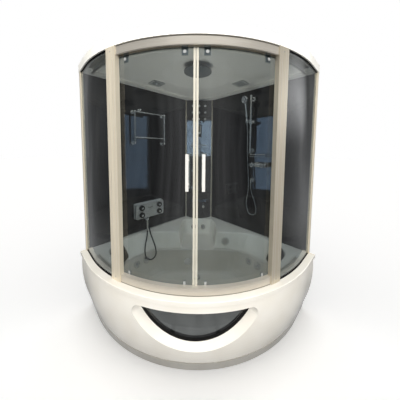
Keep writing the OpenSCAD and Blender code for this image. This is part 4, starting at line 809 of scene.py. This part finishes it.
class BATH_OT_stage(bpy.types.Operator):
    """Adds the pale floor, the soft lights and the camera"""

    bl_idname = "bath.stage"
    bl_label = "Stage"

    def lights(self, set_up, floor):
        """The soft lights; glossy faces mirror neither the front light nor the two fills."""
        soft_light(
            "key_softbox", place=(0.4, -2.9, 5.2), target=(0, -0.4, 0.6), size=(4.4, 2.2),
            power=set_up.key_light, tint=SOFTBOX_TINT, never=floor,
        )
        front = soft_light(
            "front_softbox", place=(0.1, -4.3, 3.0), target=(0, -0.7, 0.8), size=(5.4, 1.6),
            power=set_up.front_light, tint=SOFTBOX_TINT, only=FRONT_LIT.split(),
        )
        soft_light(
            "roof_light", place=(0, -3.6, 2.3), target=(0, -0.5, 2.17), size=(4.0, 0.5),
            power=set_up.roof_light, tint=(1, 0.99, 0.94), only=["roof_shell"],
        )
        cabin = soft_light(
            "cabin_fill", place=(0, -0.1, 2.08), target=(0, -0.1, 0), size=(0.9, 0.7),
            power=set_up.cabin_fill, tint=(1, 0.985, 0.97),
        )
        ceiling = soft_light(
            "ceiling_fill", place=(0, -0.2, 0.9), target=(0, -0.2, 2), size=(1.0, 0.8),
            power=set_up.ceiling_fill, tint=(1, 0.95, 0.87), only=OVERHEAD,
        )
        for thing in (front, cabin, ceiling):
            thing.visible_glossy = False
        # the windows of the room, seen only as mirror images in the black walls and the column
        for name, place, target, size, share, tint, only in (
            ("left", (-2.7, -1.25, 1.62), (0, -0.3, 1.4), (0.8, 2.7), 1.0, DAY_TINT, WALLS),
            ("right", (2.7, -1.25, 1.62), (0, -0.3, 1.4), (0.8, 2.7), 0.7, DAY_TINT, WALLS),
            ("column", (-0.05, -3.0, 1.86), (0, 0.6, 1.6), (0.95, 1.17), 1.3, COLUMN_DAY_TINT, COLUMN),
        ):
            day = soft_light("daylight_" + name, place, target, size, set_up.daylight * share, tint, only)
            day.visible_diffuse = False

    def camera(self, set_up):
        """The camera at the photograph's viewing angle."""
        camera = bpy.data.cameras.new("camera")
        camera.lens, camera.sensor_width = set_up.lens, 36
        camera.shift_x, camera.shift_y = SHIFT
        camera.clip_start = 0.05
        eye = bpy.data.objects.new("camera", camera)
        bpy.context.scene.collection.objects.link(eye)
        pitch, yaw, roll = math.radians(PITCH), math.radians(YAW), math.radians(ROLL)
        ahead = Vector((math.sin(yaw) * math.cos(pitch), math.cos(yaw) * math.cos(pitch), math.sin(pitch)))
        turn = ahead.to_track_quat("-Z", "Y").to_matrix().to_4x4() @ Matrix.Rotation(roll, 4, "Z")
        eye.matrix_world = Matrix.Translation(EYE) @ turn
        bpy.context.scene.camera = eye
        bpy.context.scene.view_settings.view_transform = "Standard"

    def execute(self, context):
        set_up = context.scene.bath_stage
        floor = paper_floor(set_up)
        studio_world(set_up)
        self.lights(set_up, floor)
        self.camera(set_up)
        return {"FINISHED"}


# Pieces


class BATH_OT_hoses(bpy.types.Operator):
    """Adds the two wound metal hoses, each on its own route, and their nuts"""

    bl_idname = "bath.hoses"
    bl_label = "Hoses"

    def hose(self, sizes, name, side, route, node, finish, slot, mover, still, led):
        """One hose along its route, in place of the imported one."""
        points = [wall_point(side, u, z, out) for u, z, out in route]
        path, length = smooth_path(points, sizes.pitch / 4)
        groove, ridge = sizes.diameter / 2 * 0.9, sizes.diameter / 2 * 0.985
        bm = wound_tube(path, (groove, ridge, ridge, groove), sides=12)
        hose = finish_piece(name, bm, finish, None, sharp=60)
        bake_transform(hose)
        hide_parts(node)

    def execute(self, context):
        sizes = context.scene.bath_hose
        bright, grey = wound_metal("wound_hose_bright", "#c9ccce"), wound_metal("wound_hose_grey", "#54585b")
        self.hose(
            sizes, "shower_hose_wound", 1, SHOWER_RUN, "shower_hose", bright, "hose_chrome", "slider",
            still=(869, 1140, 72), led=SHOWER_RUN[0],
        )
        self.hose(
            sizes, "bath_hose_wound", -1, BATH_RUN, "bath_hose", grey, "hose_grey", "bath_handset",
            still=(864, 606, 84), led=(848, 705, 30),
        )
        nut = [(6.4, 0), (7.6, 0), (8.2, 1), (8.2, 11), (7.4, 12.2), (6.8, 16), (6.4, 16), (6.4, 0)]
        nut_length = 16
        for name, side, (u, z, out), body in (
            ("shower_hose_nut", 1, SHOWER_RUN[0], "hand_shower"),
            ("shower_outlet_nut", 1, SHOWER_RUN[-1], CABIN),
            ("bath_hose_nut", -1, BATH_RUN[0], "bath_handset"),
            ("bath_outlet_nut", -1, BATH_RUN[-1], CABIN),
        ):
            spot = Matrix.Translation(wall_point(side, u, z - nut_length, out))
            placed(name, [(lathe(nut, steps=24), spot)], chrome(), body)
        return {"FINISHED"}


class BATH_OT_acrylic(bpy.types.Operator):
    """Finishes the bath, its apron and window, and adds sealant, terminal box and overflow ring"""

    bl_idname = "bath.acrylic"
    bl_label = "Bath and apron"

    def execute(self, context):
        dress("tub_shell tub_basin tub_floor apron base_band window_frame", cast_acrylic())
        dress("window_glass", window_pane())
        dress("black_seals", black_rubber())
        dress("tub_frame", coated_steel())
        dress("levelling_feet", moulded("foot_plastic_black", "#1b1c1e"))
        dress("pump", moulded("pump_housing_grey", "#2b2e31", roughness=0.4, grain=2))
        dress("water_pipes", moulded("pipe_plastic_white", "#d8d8d3", roughness=0.38, grain=3))
        dress("tub_jets waste_fittings overflow_knob drain_plug", chrome())
        silicone = moulded("silicone_sealant", "#c9c7c0", roughness=0.35)
        strip = plate(770, 7, 7, corner=2.5)
        beads = [(strip, wall_place(side, 690, RIM_Z + 3.4, out=0.1)) for side in (-1, 1)]
        placed("sealant_bead", beads, silicone, CABIN)
        box = plate(72, 48, 26, corner=5, edge=2)
        gland = lathe([(0, 0), (9, 0), (9, 6), (7, 8), (7, 16), (0, 16)], steps=20)
        sideways = Matrix.Rotation(math.radians(90), 4, "Y")
        parts = [(box, at(16, PUMP_Y, 250)), (gland, at(50, PUMP_Y, 262) @ sideways)]
        dark = moulded("terminal_box_black", "#1d1f21", roughness=0.4)
        placed("pump_terminal_box", parts, dark, CABIN)
        face = lathe([(0, 13.2), (27, 13.2), (29, 13.9), (31, 14.3), (33, 13.9), (34, 13.2)], steps=48)
        place = at(*OVERFLOW) @ facing(OVERFLOW_WAY)
        placed("overflow_knob_ring", [(face, place)], silver_lacquer(), "overflow_knob")
        return {"FINISHED"}


class BATH_OT_head_rests(bpy.types.Operator):
    """Replaces the plain rests by padded ones"""

    bl_idname = "bath.head_rests"
    bl_label = "Head rests"

    def execute(self, context):
        for name in ("head_rest_left", "head_rest_right"):
            bm = bmesh.new()
            bm.from_mesh(NODES[name].data)
            bmesh.ops.remove_doubles(bm, verts=bm.verts, dist=1e-5)
            bmesh.ops.recalc_face_normals(bm, faces=bm.faces)
            for _ in range(2):
                bmesh.ops.smooth_vert(
                    bm, verts=bm.verts, factor=0.5, use_axis_x=True, use_axis_y=True, use_axis_z=True
                )
            pad = finish_piece(name + "_pad", bm, foam_skin(), CABIN, sharp=180)
            soft = pad.modifiers.new("soft", "SUBSURF")
            soft.levels = soft.render_levels = 2
            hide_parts(name)
        return {"FINISHED"}


class BATH_OT_cabin(bpy.types.Operator):
    """Finishes the rails, posts, panes, doors, walls and roof, and adds their lips, ribs and painted shade
    lines
    """

    bl_idname = "bath.cabin"
    bl_label = "Cabin"

    def execute(self, context):
        dress("bottom_rail top_rail", anodised_along())
        dress("post_left post_right wall_profiles", anodised_upright())
        dress("fixed_pane_left fixed_pane_right door_pane_left door_pane_right", grey_pane())
        dress("door_strip_left door_strip_right", soft_strip())
        dress("door_handle_left door_handle_right", polished_handle())
        dress("door_hangers_left door_hangers_right", brushed_steel())
        rollers = "roller_left_near roller_left_far roller_right_near roller_right_far"
        dress(rollers, moulded("roller_nylon", "#e9e9e6", roughness=0.35))
        dress("wall_panel_left wall_panel_right column_panel column_base", gloss_black())
        dress("roof_shell ceiling", satin_acrylic())
        here, span = Matrix.Identity(4), (-DOORWAY_ANGLE, DOORWAY_ANGLE, 80)
        trim = []
        for low, high in LIPS:
            trim.append((arc_strip(RAIL_R, RAIL_R + 2.2, low, high, *span, flare=0.4), here))
        for post in (-POST_ANGLE, POST_ANGLE):
            for step in RIBS:
                start, end = post + step - RIB_HALF, post + step + RIB_HALF
                trim.append((arc_strip(POST_R, POST_R + 2, *RIB_ENDS, start, end, steps=2), here))
        placed("rail_lips_and_post_ribs", trim, anodised_along(), CABIN)
        # painted shade: bronze-grey strips along each rail's other edge stand in for the shade lines there,
        # such as the shadow between the roof and the top rail
        shade_strips = []
        for low, high in RAIL_SHADE_LINES:
            shade_strips.append((arc_strip(RAIL_R, RAIL_R + 1.8, low, high, *span), here))
        bronze = moulded("shade_line_bronze_grey", "#8d8778", roughness=0.5)
        placed("rail_shade_lines", shade_strips, bronze, CABIN)
        return {"FINISHED"}


class BATH_OT_fittings(bpy.types.Operator):
    """Finishes the fittings and adds nozzle tips, knob caps, lamp, screen, keys and screws"""

    bl_idname = "bath.fittings"
    bl_label = "Fittings"

    def finishes(self):
        """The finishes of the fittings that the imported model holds."""
        dress("ceiling_fittings", moulded("fitting_plastic_silver", "#c4c7c6", roughness=0.3))
        dress("column_fittings slide_bar slider hand_shower towel_rack", chrome())
        dress("mixer_body mixer_knob_near mixer_knob_far bath_handset", chrome())
        dress("control_panel", silver_lacquer())
        knobs = "control_knob_1 control_knob_2 control_knob_3 control_knob_4"
        dress(knobs, moulded("knob_plastic_black", "#202225", roughness=0.3))
        dress("column_display", keypad_face())
        dress("rain_head", moulded("dark_plated_head", "#777b7d", roughness=0.3))

    def rain_head(self, sizes):
        """Three rings of soft tips under the rain head."""
        r = sizes.nub / 2 / MM
        tip = lathe([(0, -1.4), (r * 0.55, -1.4), (r * 0.8, -1.0), (r, 1.2), (0, 1.2)], steps=10)
        step = 3.8  # mm that a ring's radius grows for each tip in it
        face = at(0, RAIN_Y, RAIN_Z)
        tips = [(tip, face @ spot) for count in (8, 16, 24) for spot in ring(count, count * step)]
        placed("rain_head_nozzle_tips", tips, nozzle_silicone(), "rain_head")

    def control_panel(self, sizes):
        """A bright cap on each knob, and slots in the middle of the panel."""
        profile = [(0, 26.4), (9.6, 26.4), (10.6, 25.8), (10.8, 24.2), (0, 24.2)]
        knobs = [(x, y) for y in (1, -1) for x in (-1, 1)]
        for i, (x, y) in enumerate(knobs, 1):
            place = wall_place(-1, PANEL_U + x * KNOB_U, PANEL_Z + y * KNOB_Z, out=53)
            cap = lathe(profile, sizes.sides)
            body = f"control_knob_{i}"
            placed(body + "_cap", [(cap, place)], silver_lacquer(), body)
        slot = plate(58, 3, 0.5, corner=1.2)
        grille = [(slot, wall_place(-1, PANEL_U, PANEL_Z + 10 + i * 6, out=51.9)) for i in range(4)]
        black = moulded("grille_black", "#17181a", roughness=0.5, grain=1)
        placed("panel_grille", grille, black, CABIN)

    def hand_shower(self):
        """Three rings of soft tips in the face of the hand shower."""
        face = wall_place(1, *HAND_SHOWER) @ facing((-0.2, -0.28, 0.94))
        tip = lathe([(0, -0.8), (1.3, -0.8), (1.3, 0.8), (0.9, 1.4), (0, 1.4)], steps=8)
        rings = ((6, 9), (12, 19), (18, 28))
        tips = [(tip, face @ spot) for count, radius in rings for spot in ring(count, radius)]
        placed("hand_shower_nozzle_tips", tips, nozzle_silicone(), "hand_shower")

    def ceiling(self):
        """The lamp's lens and diode at the left, the speaker's slots at the right."""
        lamp = at(-CEILING_X, CEILING_Y, CEILING_Z)
        lens = lathe([(0, -3.5), (22, -3.3), (36, -2.4), (42.2, -1), (42.2, 0.3), (0, 0.3)], steps=48)
        placed("ceiling_lamp_lens", [(lens, lamp)], lamp_lens(), CABIN)
        dot = lathe([(0, -5.2), (5, -4.9), (6.6, -3.9), (6.6, -3), (0, -3)], steps=24)
        placed("ceiling_lamp_diode", [(dot, lamp)], diode_white(), CABIN)
        turned = Matrix.Rotation(math.radians(45), 4, "Z") @ Matrix.Rotation(math.pi, 4, "X")
        base = at(CEILING_X, CEILING_Y, CEILING_Z) @ turned
        slot = plate(4.6, 91, 0.8, corner=1.5)
        slots = [(slot, base @ at(i * 12, 0, -0.2)) for i in range(-4, 5)]
        black = moulded("speaker_cloth_black", "#161719", roughness=0.7, grain=1)
        placed("ceiling_speaker_cloth", slots, black, CABIN)

    def keypad(self):
        """The frame, window and three keys of the keypad on the column."""
        rim = plate(46, 108, 0.7, corner=3, edge=0.2)
        place = column_place(0, KEYPAD_Z, out=8.9)
        placed("display_frame", [(rim, place)], silver_lacquer(), CABIN)
        window = plate(34, 84, 0.6, corner=2, edge=0.2)
        place = column_place(0, KEYPAD_Z + 8, out=9.5)
        placed("display_window", [(window, place)], screen_glass(), CABIN)
        key = lathe([(0, 1.7), (3.2, 1.6), (3.8, 1.1), (4, 0), (0, 0)], steps=20)
        keys = [(key, column_place(x, KEYPAD_Z - 45, out=9.4)) for x in (-13, 0, 13)]
        grey = moulded("key_plastic_grey", "#b4b8b9", roughness=0.35)
        placed("display_keys", keys, grey, CABIN)

    def post_screws(self, sizes):
        """A screw near each end of both posts."""
        head = lathe([(0, 2.0), (2.2, 1.8), (3.4, 1.0), (sizes.screw / 2 / MM, 0), (0, 0)], steps=20)
        screws = []
        for side in (-1, 1):
            for z in (588, 2108):
                screws.append((head, front_place(side * POST_ANGLE, POST_R + 0.8, z)))
        placed("post_screws", screws, brushed_steel(), CABIN)

    def execute(self, context):
        sizes = context.scene.bath_fitting
        self.finishes()
        self.rain_head(sizes)
        self.control_panel(sizes)
        self.hand_shower()
        self.ceiling()
        self.keypad()
        self.post_screws(sizes)
        return {"FINISHED"}


# Panel and start

SETTINGS = (("bath_stage", StageSettings), ("bath_hose", HoseSettings), ("bath_fitting", FittingSettings))
OPERATORS = (
    BATH_OT_stage,
    BATH_OT_hoses,
    BATH_OT_acrylic,
    BATH_OT_head_rests,
    BATH_OT_cabin,
    BATH_OT_fittings,
)


class BATH_PT_panel(bpy.types.Panel):
    """Lists the pieces of the bath and their sizes"""

    bl_idname = "BATH_PT_panel"
    bl_label = "Bath and shower cabin"
    bl_space_type = "VIEW_3D"
    bl_region_type = "UI"
    bl_category = "Bath"

    def draw(self, context):
        layout = self.layout
        for name, group in SETTINGS:
            box = layout.box()
            for key in group.__annotations__:
                box.prop(getattr(context.scene, name), key)
        for operator in OPERATORS:
            layout.operator(operator.bl_idname)


CLASSES = tuple(group for _, group in SETTINGS) + OPERATORS + (BATH_PT_panel,)


def register():
    for item in CLASSES:
        bpy.utils.register_class(item)
    for name, group in SETTINGS:
        setattr(bpy.types.Scene, name, PointerProperty(type=group))


def unregister():
    for name, _ in SETTINGS:
        delattr(bpy.types.Scene, name)
    for item in reversed(CLASSES):
        bpy.utils.unregister_class(item)


def main():
    register()
    bpy.ops.bath.stage()
    bpy.ops.bath.hoses()
    bpy.ops.bath.acrylic()
    bpy.ops.bath.head_rests()
    bpy.ops.bath.cabin()
    bpy.ops.bath.fittings()


if __name__ == "__main__":
    main()
